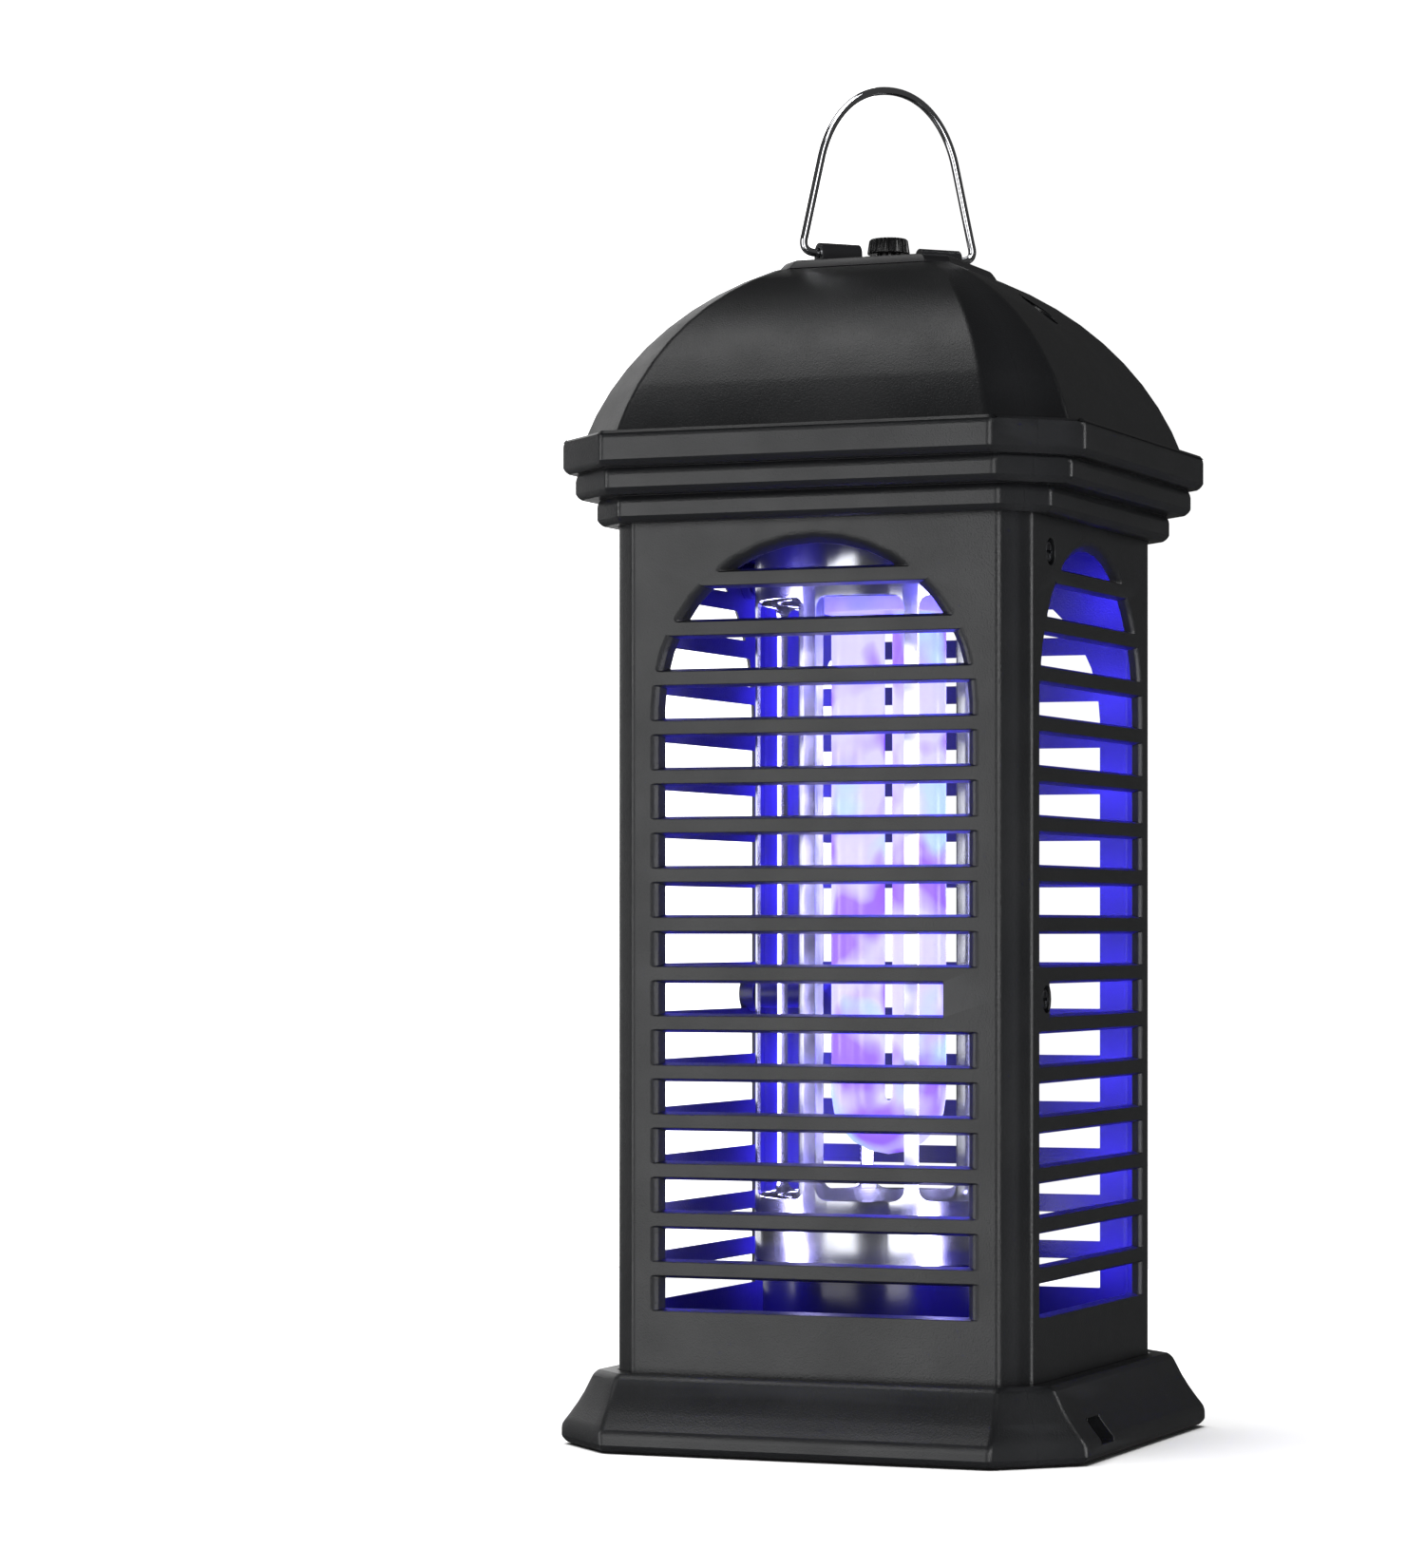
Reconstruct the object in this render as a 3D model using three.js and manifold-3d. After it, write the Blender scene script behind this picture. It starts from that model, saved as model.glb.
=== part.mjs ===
// Lantern-shaped electric insect zapper: a louvred square column with cut corners on a flared base,
// a three-step cornice, a domed roof with a wire bail, and a cylindrical electrode cage around a lamp.
// Millimetres, +Z up. Origin: centre of the footprint, on the surface the feet stand on.
// The front louvre faces -Y and the right louvre faces +X.
// The roof, the column and the base are each two equal halves, one turned half a revolution from
// the other. The seam runs through the front-right and rear-left corners.

import * as THREE from "three";
import { mergeVertices } from "three/addons/utils/BufferGeometryUtils.js";
import Module from "manifold-3d";

const wasm = await Module();
wasm.setup();

// ---------------------------------------------------------------- driving dimensions
const CLEARANCE = 0.3; // between pieces that touch
const SEAM_GAP = 0.3; // between the two halves of each moulding
const CORNER_ROUND = 2.5; // radius along every corner of the octagonal mouldings
const HALF_TURN = Math.PI;

// Column: a square with cut corners, open as a louvre on all four sides.
const COLUMN_HALF = 53.2;
const COLUMN_CHAMFER = 6.4;
const COLUMN_HEIGHT = 205.8; // seen between the base collar and the cornice
const WALL = 2.0;
// A moulding wider than the column by d cuts its corners by this much more: d * (SLOPE + CURVE * d).
const CHAMFER_SLOPE = 0.62;
const CHAMFER_CURVE = 0.0145;
const OFFSET_CHAMFER = 2 - Math.SQRT2; // change of the corner cut per millimetre of parallel offset

// Louvre windows.
const WINDOW_MARGIN = 12.2; // from a window's side to the face of the next wall
const SILL_HEIGHT = 15.1; // from the collar's top to the lowest slot
const HEAD_MARGIN = 3.7; // from the arch's crown to the cornice
const SLOT_PITCH = 11.9;
const SLOT_HEIGHT = 8.6;
const EDGE_BEVEL = 2.2; // a window is this much smaller inside, at its sides and arch
const SLOT_DRAFT = 0.7; // a slot is this much lower inside, above and below
const ARCH_STEPS = 18;
const BOSS_SLOT = 7; // this slot, counted from the sill, is shortened beside a screw
const BOSS_SLOT_LOSS = 8.0; // so much shorter on the front and rear faces
const SOCKET_SLOT_LOSS = 7.1; // and on the left and right faces

// Base.
const RIM_LIFT = 0.6; // the rim hangs just clear of the floor, the feet carry the weight
const RIM_TOP = 5.0;
const RIM_ROUND = 1.6;
const COLLAR_TOP = 18.5;
const COLLAR_STEP = 6.2; // the collar stands out from the column
const SKIRT_FLARE = 8.1; // and the rim stands out from the collar
const SKIRT_POWER = 1.45; // hollow of the skirt's curve
const SKIRT_STEPS = 5;
const BASE_WALL = 2.8;
const LEDGE_TOP = 12.0; // the column stands on this ledge
const LEDGE_THICKNESS = 2.3;
const LEDGE_REACH = 1.7; // the ledge reaches in past the column's inner wall

// Cornice: three bands, each standing out further.
const BANDS = [
  { step: 5.2, height: 6.5 },
  { step: 10.6, height: 6.4 },
  { step: 13.9, height: 8.6 },
];
const BAND_ROUND = 1.6;
const BAND_WALL = 6.1;
const COLUMN_SOCKET_DEPTH = 3.7; // the column rises this far into the cornice

// Dome.
const DOME_INSET = 4.8; // the dome starts inside the top band's edge
const DOME_RISE = 42.6;
const DOME_RADIUS = 69.3;
const DOME_WALL = 2.2;
const DOME_STEPS = 9;
const DOME_BASE_CHAMFER = 15.4;
const DOME_TOP_CHAMFER = 2.6;
const DOME_TOP_HALF = 23.2;

// Cap with the two bail lugs.
const CAP_HALF = 21.5;
const CAP_FLARE = 1.0;
const CAP_CHAMFER = 4.8;
const CAP_THICKNESS = 2.1;
const SPIGOT_HALF = 18.5;
const SPIGOT_DEPTH = 4.4;
const LUG_START = 8.3; // from the axis, along the diagonal
const LUG_LENGTH = 10.9;
const LUG_WIDTH = 5.2;
const LUG_HEIGHT = 5.2;

// Bail.
const WIRE_RADIUS = 1.0;
const WIRE_CLEARANCE = 0.3;
const BAIL_HALF_WIDTH = 23.8; // wire centre at the foot of each leg
const BAIL_BEND = 4.2;
const BAIL_LEAN = 5.4; // each leg leans in by this much below the arch
const BAIL_ARCH_RADIUS = 17.8;
const BAIL_HEIGHT = 41.4; // wire centre at the crown above the wire in the lugs
const BAIL_SIDES = 10;

// Switch.
const KNOB_RADIUS = 5.33;
const KNOB_TOP_RADIUS = 4.85;
const KNOB_HEIGHT = 3.9;
const KNOB_LIFT = 3.1; // above the cap
const KNOB_RIBS = 30;
const STEM_RADIUS = 3.05;
const SWITCH_SIZE = 16;
const SWITCH_HEIGHT = 12.5;
const STEM_DEPTH = 7; // of the stem inside the switch

// Electrode cage and lamp.
const GRID_RADIUS = 33.3;
const INNER_GRID_RADIUS = GRID_RADIUS - 5.7;
const SHEET = 0.8;
const GRID_SEGMENTS = 56;
const GRID_WINDOWS = 8;
const GRID_STRIP = 3.3;
const GRID_STRIP_ANGLE = 29.5; // degrees from the front face towards the right one
const INNER_WINDOWS = 4;
const INNER_STRIP = 3.0;
const INNER_STRIP_ANGLE = 61; // as for the outer one
const GRID_FOOT_BAND = 15.6; // solid band under the windows
const GRID_HEAD_BAND = 14.8; // and over them
const GRID_CORNER = 3.0;
const CHUTE_RADIUS = GRID_RADIUS - 1.9;
const CHUTE_WALL = 1.5;
const CHUTE_HEIGHT = 28.9;
const CHUTE_FLARE = 2.1;
const SPIDER_BORE = INNER_GRID_RADIUS - 3.6;
const SPIDER_THICKNESS = 2.4;
const INSULATOR_THICKNESS = 5.7;
const INSULATOR_LIP = 3.0;
const INSULATOR_BORE = 20.0;
const LAMP_TUBE_RADIUS = 6.7;
const LAMP_PITCH = 16.2; // between its two limbs
const LAMP_SIDES = 20;
const LAMP_END_GAP = 40.5; // from the start of the tube's bend to the lower edge of the cage
const LAMP_BASE_RADIUS = 16.0;
const LAMP_BASE_HEIGHT = 17.5;
const LAMP_PLUG_RADIUS = 7.6;
const LAMP_PLUG_HEIGHT = 5.6;
const HOLDER_NECK_RADIUS = 14.5;
const HOLDER_RADIUS = 18.0;
const HOLDER_HEIGHT = 11.5;

// Floor of the column, deck above the cage, plate under the base, tray.
const FLOOR_THICKNESS = 2.5;
const FLOOR_BORE = CHUTE_RADIUS - 2.9;
const DECK_THICKNESS = 2.5;
const DECK_LIP = 1.9; // the deck lies on the column's top edge and this far past it
const PLATE_LIFT = 1.5;
const PLATE_THICKNESS = 2.5;
const PLATE_HALF_INSET = 9.9; // rim outside the plate
const TRAY_RADIUS = 46.5;
const TRAY_WALL = 1.5;
const TRAY_HEIGHT = 10.0;
const TRAY_CLEARANCE = 0.5;
const NOTCH_WIDTH = 14.0; // finger notches beside the tray
const NOTCH_START = 12.0;
const NOTCH_REACH = 53.5;
const FOOT_RADIUS = 5.0;
const FOOT_HEIGHT = 2.2;
const FOOT_REACH = 43.0; // each foot's distance from both centre planes

// Fasteners.
const SCREW_HEAD_RADIUS = 2.8;
const SCREW_HEAD = 1.8;
const SCREW_RADIUS = 1.3;
const SMALL_HEAD_RADIUS = 2.5;
const SMALL_HEAD = 1.2;
const SMALL_RADIUS = 1.1;
const DRIVE_WIDTH = 0.7;
const SOCKET_RADIUS = 3.3; // recess for a column screw's head
const SOCKET_DEPTH = 2.5;
const SOCKET_WALL = 1.3;
const SOCKET_LENGTH = 4.3;
const BOSS_RADIUS = 3.6;
const BOSS_LENGTH = 12.6;
const WEB = 2.0;
const SCREW_SIDE = 33.0; // a seam screw's distance from the centre plane of its face
const MIDDLE_SCREW_SIDE = 36.0;
const TOP_SCREW_DROP = 8.2; // the top seam screw below the cornice
const POCKET_WIDTH = 10.0; // screw pocket in the base skirt
const POCKET_HEIGHT = 6.0;
const POCKET_FLOOR = 4.0;
const POCKET_DEPTH = 7.0; // from the rim's face
const BASE_BOSS_RADIUS = 2.4;
const PLATE_BOSS_RADIUS = 3.4;
const ROOF_SCREW_REACH = 39.5; // from the axis
const ROOF_WELL_RADIUS = 4.5;
const ROOF_WELL_WALL = 1.5;
const ROOF_WELL_FLOOR = 262.0 - 245.8; // above the cornice
const ROOF_WELL_FLOOR_THICKNESS = 4.0;

// Electronics in the dome.
const BOARD_LENGTH = 60;
const BOARD_WIDTH = 52;
const BOARD_THICKNESS = 1.6;
const BOARD_LIFT = 17.2; // above the deck
const POST_RADIUS = 3.0;
const STAKE_RADIUS = 1.0;
const LEAD_RADIUS = 0.8;
const GROMMET_BORE = 1.9;
const GROMMET_RADIUS = 2.9;
const GROMMET_FLANGE = 3.7;
const GROMMET_FLANGE_THICKNESS = 1.4;

// ---------------------------------------------------------------- levels that follow from them
const COLUMN_BOTTOM = LEDGE_TOP + CLEARANCE;
const CORNICE_BOTTOM = COLLAR_TOP + COLUMN_HEIGHT;
const COLUMN_TOP = CORNICE_BOTTOM + COLUMN_SOCKET_DEPTH;
const CORNICE_TOP = BANDS.reduce((z, band) => z + band.height, CORNICE_BOTTOM);
const DOME_TOP = CORNICE_TOP + DOME_RISE;
const CAP_BOTTOM = DOME_TOP + CLEARANCE;
const CAP_TOP = CAP_BOTTOM + CAP_THICKNESS;
const WIRE_LEVEL = CAP_TOP + LUG_HEIGHT / 2;
const COLUMN_INNER = COLUMN_HALF - WALL;
const COLLAR_HALF = COLUMN_HALF + COLLAR_STEP;
const RIM_HALF = COLLAR_HALF + SKIRT_FLARE;
const DOME_BASE_HALF = COLUMN_HALF + BANDS[2].step - DOME_INSET;
const SILL = COLLAR_TOP + SILL_HEIGHT;
const CROWN = CORNICE_BOTTOM - HEAD_MARGIN;
const WINDOW_HALF = COLUMN_HALF - WINDOW_MARGIN;
const SLOT_COUNT = Math.ceil((CROWN - SILL) / SLOT_PITCH);
const MIDDLE_SCREW_LEVEL = SILL + (BOSS_SLOT - 1) * SLOT_PITCH + SLOT_HEIGHT / 2;
const TOP_SCREW_LEVEL = CORNICE_BOTTOM - TOP_SCREW_DROP;
const FLOOR_BOTTOM = LEDGE_TOP + CLEARANCE;
const FLOOR_TOP = FLOOR_BOTTOM + FLOOR_THICKNESS;
const CHUTE_BOTTOM = FLOOR_TOP + CLEARANCE;
const CHUTE_TOP = CHUTE_BOTTOM + CHUTE_HEIGHT;
const GRID_BOTTOM = CHUTE_TOP + CLEARANCE;
const DECK_BOTTOM = COLUMN_TOP + CLEARANCE;
const DECK_TOP = DECK_BOTTOM + DECK_THICKNESS;
const INSULATOR_BOTTOM = DECK_BOTTOM - CLEARANCE - INSULATOR_THICKNESS;
const GRID_TOP = INSULATOR_BOTTOM - CLEARANCE;
const GRID_WINDOW_BOTTOM = GRID_BOTTOM + GRID_FOOT_BAND;
const GRID_WINDOW_TOP = GRID_TOP - GRID_HEAD_BAND;
const PLATE_TOP = PLATE_LIFT + PLATE_THICKNESS;
const PLATE_HALF = RIM_HALF - PLATE_HALF_INSET - CLEARANCE;
const BOARD_BOTTOM = DECK_TOP + BOARD_LIFT;
const BOARD_TOP = BOARD_BOTTOM + BOARD_THICKNESS;
const SWITCH_TOP = CAP_BOTTOM - SPIGOT_DEPTH - CLEARANCE;
const WELL_FLOOR = CORNICE_TOP + ROOF_WELL_FLOOR;

// ---------------------------------------------------------------- materials
const finish = (color, roughness, metalness = 0, extra = {}) =>
  new THREE.MeshStandardMaterial({ color, roughness, metalness, ...extra });
const MATERIAL = {
  housing: finish(0x3a3b3e, 0.55),
  cap: finish(0x262729, 0.5),
  chrome: finish(0xd8dade, 0.12, 1),
  knob: finish(0x18191a, 0.45),
  blackPlastic: finish(0x1d1e21, 0.4),
  insulator: finish(0x4a4a55, 0.5),
  sheetMetal: finish(0xc4c6cc, 0.25, 1),
  screw: finish(0x54565a, 0.35, 1),
  rubber: finish(0x202021, 0.85),
  glass: finish(0xcfc8ff, 0.1, 0, { transparent: true, opacity: 0.85 }),
  lampBase: finish(0xe6e6e8, 0.45),
  board: finish(0x2c6b3c, 0.6),
  component: finish(0x24262c, 0.5),
  winding: finish(0x8a5a2a, 0.45),
  lead: finish(0xb02020, 0.5),
};

// ---------------------------------------------------------------- solids
// A three.js geometry as a closed solid that can be cut and joined.
function solid(geometry) {
  const bare = geometry.index ? geometry.toNonIndexed() : geometry.clone();
  bare.deleteAttribute("normal");
  bare.deleteAttribute("uv");
  const merged = mergeVertices(bare, 1e-4);
  return new wasm.Manifold(
    new wasm.Mesh({
      numProp: 3,
      vertProperties: new Float32Array(merged.attributes.position.array),
      triVerts: new Uint32Array(merged.index.array),
    }),
  );
}

// A solid as a three.js geometry.
function geometryOf(piece) {
  const { numProp, vertProperties, triVerts } = piece.getMesh();
  const position = new Float32Array((vertProperties.length / numProp) * 3);
  for (let i = 0; i < position.length / 3; i++)
    for (let k = 0; k < 3; k++) position[3 * i + k] = vertProperties[numProp * i + k];
  const geometry = new THREE.BufferGeometry();
  geometry.setAttribute("position", new THREE.BufferAttribute(position, 3));
  geometry.setIndex([...triVerts]);
  return geometry;
}

const union = (...pieces) => pieces.reduce((a, b) => a.add(b));
const without = (piece, ...cuts) => cuts.reduce((a, b) => a.subtract(b), piece);
const turned = (piece, quarterTurns) => piece.rotate([0, 0, 90 * quarterTurns]);

// A box between two corners.
function block([x0, y0, z0], [x1, y1, z1]) {
  const geometry = new THREE.BoxGeometry(x1 - x0, y1 - y0, z1 - z0);
  geometry.translate((x0 + x1) / 2, (y0 + y1) / 2, (z0 + z1) / 2);
  return solid(geometry);
}

// An upright cylinder, or a cone where the radii differ.
function rod(x, y, z0, z1, radius, topRadius = radius, sides = 16) {
  const geometry = new THREE.CylinderGeometry(topRadius, radius, z1 - z0, sides);
  geometry.rotateX(Math.PI / 2);
  geometry.translate(x, y, (z0 + z1) / 2);
  return solid(geometry);
}

// A cylinder lying along X.
function rodX(x0, x1, y, z, radius, sides = 16) {
  const geometry = new THREE.CylinderGeometry(radius, radius, x1 - x0, sides);
  geometry.rotateZ(Math.PI / 2);
  geometry.translate((x0 + x1) / 2, y, z);
  return solid(geometry);
}

// A body of revolution about Z from a closed [radius, z] outline, anticlockwise.
function revolve(outline, sides = 40) {
  const points = [...outline, outline[0]].map(([r, z]) => new THREE.Vector2(r, z));
  const geometry = new THREE.LatheGeometry(points, sides);
  geometry.rotateX(Math.PI / 2);
  return solid(geometry);
}

// A closed skin over rings of equal length, first ring at the bottom, each ring anticlockwise
// about Z and convex enough to be closed by a fan from its middle.
function loft(rings) {
  const count = rings[0].length;
  const vertices = rings.flat();
  const faces = [];
  for (let level = 0; level + 1 < rings.length; level++)
    for (let i = 0; i < count; i++) {
      const a = level * count + i;
      const b = level * count + ((i + 1) % count);
      faces.push(a, b, b + count, a, b + count, a + count);
    }
  for (const [first, upward] of [[0, false], [(rings.length - 1) * count, true]]) {
    const ring = vertices.slice(first, first + count);
    const middle = [0, 1, 2].map((k) => ring.reduce((sum, p) => sum + p[k], 0) / count);
    const hub = vertices.push(middle) - 1;
    for (let i = 0; i < count; i++) {
      const a = first + i;
      const b = first + ((i + 1) % count);
      faces.push(hub, ...(upward ? [a, b] : [b, a]));
    }
  }
  const geometry = new THREE.BufferGeometry();
  geometry.setAttribute("position", new THREE.Float32BufferAttribute(vertices.flat(), 3));
  geometry.setIndex(faces);
  return solid(geometry);
}

// ---------------------------------------------------------------- octagonal sections
// Corner cut of a moulding of this half width that stands out from the column.
function chamferOf(half) {
  const d = half - COLUMN_HALF;
  return COLUMN_CHAMFER + d * (CHAMFER_SLOPE + CHAMFER_CURVE * d);
}

// One level of a square with cut and slightly rounded corners.
function octagonRing({ half, chamfer, z, round = CORNER_ROUND, steps = 2 }) {
  const ring = [];
  const flat = half - chamfer;
  const corners = [
    [half, flat], [flat, half], [-flat, half], [-half, flat],
    [-half, -flat], [-flat, -half], [flat, -half], [half, -flat],
  ];
  const eighth = Math.PI / 4;
  corners.forEach(([x, y], k) => {
    const bisector = (k + 0.5) * eighth;
    const back = round / Math.cos(eighth / 2);
    const cx = x - back * Math.cos(bisector);
    const cy = y - back * Math.sin(bisector);
    for (let i = 0; i <= steps; i++) {
      const angle = (k + i / steps) * eighth;
      ring.push([cx + round * Math.cos(angle), cy + round * Math.sin(angle), z]);
    }
  });
  return ring;
}

// An octagonal solid from levels { z, half, chamfer }.
const octagon = (levels) => loft(levels.map(octagonRing));

// The same section between two heights.
const octagonPrism = (half, chamfer, z0, z1) =>
  octagon([{ half, chamfer, z: z0 }, { half, chamfer, z: z1 }]);

// A level that lies a distance inside another, parallel to it.
const inset = ({ half, chamfer, z }, distance) => ({
  half: half - distance,
  chamfer: chamfer - OFFSET_CHAMFER * distance,
  z,
});

// Everything on one side of an upright plane through the axis, less half a seam's gap. The bearing
// is the side's direction, anticlockwise from +X in degrees.
function sideOf(bearing) {
  const size = 400;
  const geometry = new THREE.BoxGeometry(size, 2 * size, 2 * size);
  geometry.translate(size / 2 + SEAM_GAP / 2, 0, 0);
  return solid(geometry).rotate([0, 0, bearing]);
}

const RIGHT_REAR = sideOf(45);

// ---------------------------------------------------------------- louvre windows
// What a louvre removes from the front wall. bossEnd: the slot that a screw shortens is
// shortened on the right, beside a boss; otherwise on the left, beside a socket.
function louvreCut(bossEnd) {
  const outside = -1.0; // depths before and behind the wall
  const inside = WALL + 1.0;
  const outlineAt = (depth) => {
    const tuck = (EDGE_BEVEL * depth) / WALL;
    const radius = WINDOW_HALF - tuck;
    const archLevel = CROWN - WINDOW_HALF;
    const bottom = SILL + (SLOT_DRAFT * depth) / WALL;
    const y = -COLUMN_HALF + depth;
    const ring = [[-radius, y, bottom], [radius, y, bottom]];
    for (let i = 0; i <= ARCH_STEPS; i++) {
      const angle = (Math.PI * i) / ARCH_STEPS;
      ring.push([radius * Math.cos(angle), y, archLevel + radius * Math.sin(angle)]);
    }
    return ring;
  };
  const bars = [];
  for (let k = 1; k < SLOT_COUNT; k++) bars.push(louvreBar(SILL + k * SLOT_PITCH, outside, inside));
  const opening = loft([outlineAt(inside), outlineAt(outside)]);
  return without(opening, ...bars, slotStop(bossEnd));
}

// A louvre bar whose slot above starts at this level: wider inside than outside.
function louvreBar(top, outside, inside) {
  const bottom = top - (SLOT_PITCH - SLOT_HEIGHT);
  const draft = (depth) => (SLOT_DRAFT * depth) / WALL;
  const section = new THREE.Shape([
    new THREE.Vector2(outside, bottom - draft(outside)),
    new THREE.Vector2(inside, bottom - draft(inside)),
    new THREE.Vector2(inside, top + draft(inside)),
    new THREE.Vector2(outside, top + draft(outside)),
  ]);
  const length = 2 * WINDOW_HALF + 10;
  const geometry = new THREE.ExtrudeGeometry(section, { depth: length, bevelEnabled: false });
  geometry.rotateX(Math.PI / 2);
  geometry.rotateZ(Math.PI / 2);
  geometry.translate(-length / 2, -COLUMN_HALF, 0);
  return solid(geometry);
}

// The stretch of one slot that stays closed beside a screw.
function slotStop(bossEnd) {
  const bottom = SILL + (BOSS_SLOT - 1) * SLOT_PITCH - 1;
  const top = bottom + SLOT_HEIGHT + 2;
  const end = bossEnd ? WINDOW_HALF - BOSS_SLOT_LOSS : SOCKET_SLOT_LOSS - WINDOW_HALF;
  const far = bossEnd ? WINDOW_HALF + 5 : -WINDOW_HALF - 5;
  const depths = [-COLUMN_HALF - 2, -COLUMN_HALF + WALL + 2];
  return block([Math.min(end, far), depths[0], bottom], [Math.max(end, far), depths[1], top]);
}

// ---------------------------------------------------------------- column
const SEAM_SCREWS = [
  { name: "top", side: SCREW_SIDE, z: TOP_SCREW_LEVEL },
  { name: "middle", side: MIDDLE_SCREW_SIDE, z: MIDDLE_SCREW_LEVEL },
];
const SOCKET_MOUTH = COLUMN_HALF; // the right face
const SOCKET_SEAT = SOCKET_MOUTH - SOCKET_DEPTH;
const SOCKET_BACK = SOCKET_MOUTH - SOCKET_LENGTH;
const BOSS_MOUTH = SOCKET_BACK - CLEARANCE;

// Right and rear walls, which are one moulding. The front end carries the screw sockets and the
// rear-left end the bosses.
function columnHalf() {
  const outer = octagonPrism(COLUMN_HALF, COLUMN_CHAMFER, COLUMN_BOTTOM, COLUMN_TOP);
  const inner = octagonPrism(
    COLUMN_INNER, COLUMN_CHAMFER - OFFSET_CHAMFER * WALL, COLUMN_BOTTOM - 1, COLUMN_TOP + 1,
  );
  const walls = without(outer, inner, turned(louvreCut(false), 1), turned(louvreCut(true), 2));
  let half = walls.intersect(RIGHT_REAR);
  for (const { side, z } of SEAM_SCREWS) {
    half = half.add(rodX(SOCKET_BACK, SOCKET_MOUTH - 0.4, -side, z, SOCKET_RADIUS + SOCKET_WALL));
    half = without(
      half,
      rodX(SOCKET_SEAT, SOCKET_MOUTH + 1, -side, z, SOCKET_RADIUS),
      rodX(SOCKET_BACK - 1, SOCKET_MOUTH, -side, z, SCREW_RADIUS + CLEARANCE),
    );
    half = half.add(columnBoss(side, z));
  }
  return half;
}

// A screw boss on the rear wall's left end, with the web that carries it.
function columnBoss(side, z) {
  const end = -BOSS_MOUTH + BOSS_LENGTH;
  const boss = rodX(-BOSS_MOUTH, end, side, z, BOSS_RADIUS);
  const web = block([-BOSS_MOUTH + 1, side, z - WEB / 2], [end - 1, COLUMN_INNER + 0.5, z + WEB / 2]);
  const pilot = rodX(-BOSS_MOUTH - 1, end - WEB, side, z, SCREW_RADIUS + CLEARANCE);
  return without(union(boss, web), pilot);
}

// ---------------------------------------------------------------- base
function baseLevels() {
  const at = (half, z) => ({ half, chamfer: chamferOf(half), z });
  const levels = [at(RIM_HALF - RIM_ROUND, RIM_LIFT), at(RIM_HALF - RIM_ROUND * 0.3, RIM_LIFT + 0.5)];
  levels.push(at(RIM_HALF, RIM_LIFT + RIM_ROUND));
  const shoulder = COLLAR_TOP - 1.2; // where the collar's top edge starts to round
  for (let i = 0; i <= SKIRT_STEPS; i++) {
    const t = 1 - i / SKIRT_STEPS;
    const z = COLLAR_TOP - t * (COLLAR_TOP - RIM_TOP);
    levels.push(at(COLLAR_HALF + SKIRT_FLARE * t ** SKIRT_POWER, Math.min(z, shoulder)));
  }
  levels.push(at(COLLAR_HALF - 0.4, COLLAR_TOP - 0.4), at(COLLAR_HALF - 1.4, COLLAR_TOP));
  return levels;
}

const COLUMN_SECTION = { half: COLUMN_HALF, chamfer: COLUMN_CHAMFER, z: 0 };
const BASE_SOCKET = inset(COLUMN_SECTION, -CLEARANCE); // the column stands in this opening
const POCKET_SEAT = RIM_HALF - POCKET_DEPTH; // the base screw's head seats here
const POCKET_BLOCK = 2.9; // thickness of the wall behind it
const LEDGE_BOTTOM = LEDGE_TOP - LEDGE_THICKNESS;
const BASE_BOSS_LEVEL = (PLATE_TOP + LEDGE_BOTTOM) / 2;
const PLATE_SCREW_REACH = (TRAY_RADIUS + PLATE_HALF) / 2 + 0.6;

function baseHalf() {
  const seat = { half: PLATE_HALF + CLEARANCE, chamfer: chamferOf(PLATE_HALF + CLEARANCE) };
  const roomHalf = COLLAR_HALF + SKIRT_FLARE * 0.5 - BASE_WALL;
  const room = { half: roomHalf, chamfer: chamferOf(roomHalf) };
  const ledgeHalf = COLUMN_INNER - LEDGE_REACH;
  const ledge = inset(COLUMN_SECTION, COLUMN_HALF - ledgeHalf);
  const shell = without(
    octagon(baseLevels()),
    octagonPrism(seat.half, seat.chamfer, 0, LEDGE_BOTTOM - 2),
    octagonPrism(room.half, room.chamfer, PLATE_TOP + 0.6, LEDGE_BOTTOM),
    octagonPrism(ledge.half, ledge.chamfer, LEDGE_BOTTOM - 1, LEDGE_TOP + 1),
    octagonPrism(BASE_SOCKET.half, BASE_SOCKET.chamfer, LEDGE_TOP, COLLAR_TOP + 1),
  );
  const plateBosses = [[PLATE_SCREW_REACH, 0], [0, PLATE_SCREW_REACH]].map(([x, y]) =>
    rod(x, y, PLATE_TOP + CLEARANCE, LEDGE_BOTTOM + 1, PLATE_BOSS_RADIUS),
  );
  const plateHoles = [[PLATE_SCREW_REACH, 0], [0, PLATE_SCREW_REACH]].map(([x, y]) =>
    rod(x, y, PLATE_TOP, LEDGE_BOTTOM - 0.5, SMALL_RADIUS + CLEARANCE),
  );
  const pocketWall = block(
    [POCKET_SEAT - POCKET_BLOCK, -SCREW_SIDE - POCKET_WIDTH / 2 - 1.5, PLATE_TOP + 0.5],
    [roomHalf + 1, -SCREW_SIDE + POCKET_WIDTH / 2 + 1.5, LEDGE_BOTTOM + 1],
  );
  const pocket = block(
    [POCKET_SEAT, -SCREW_SIDE - POCKET_WIDTH / 2, POCKET_FLOOR],
    [RIM_HALF + 5, -SCREW_SIDE + POCKET_WIDTH / 2, POCKET_FLOOR + POCKET_HEIGHT],
  );
  const hole = rodX(40, RIM_HALF, -SCREW_SIDE, BASE_BOSS_LEVEL, SMALL_RADIUS + CLEARANCE);
  const half = without(
    union(shell, ...plateBosses, pocketWall).intersect(RIGHT_REAR), ...plateHoles, pocket, hole,
  );
  return half.add(baseBoss());
}

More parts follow.
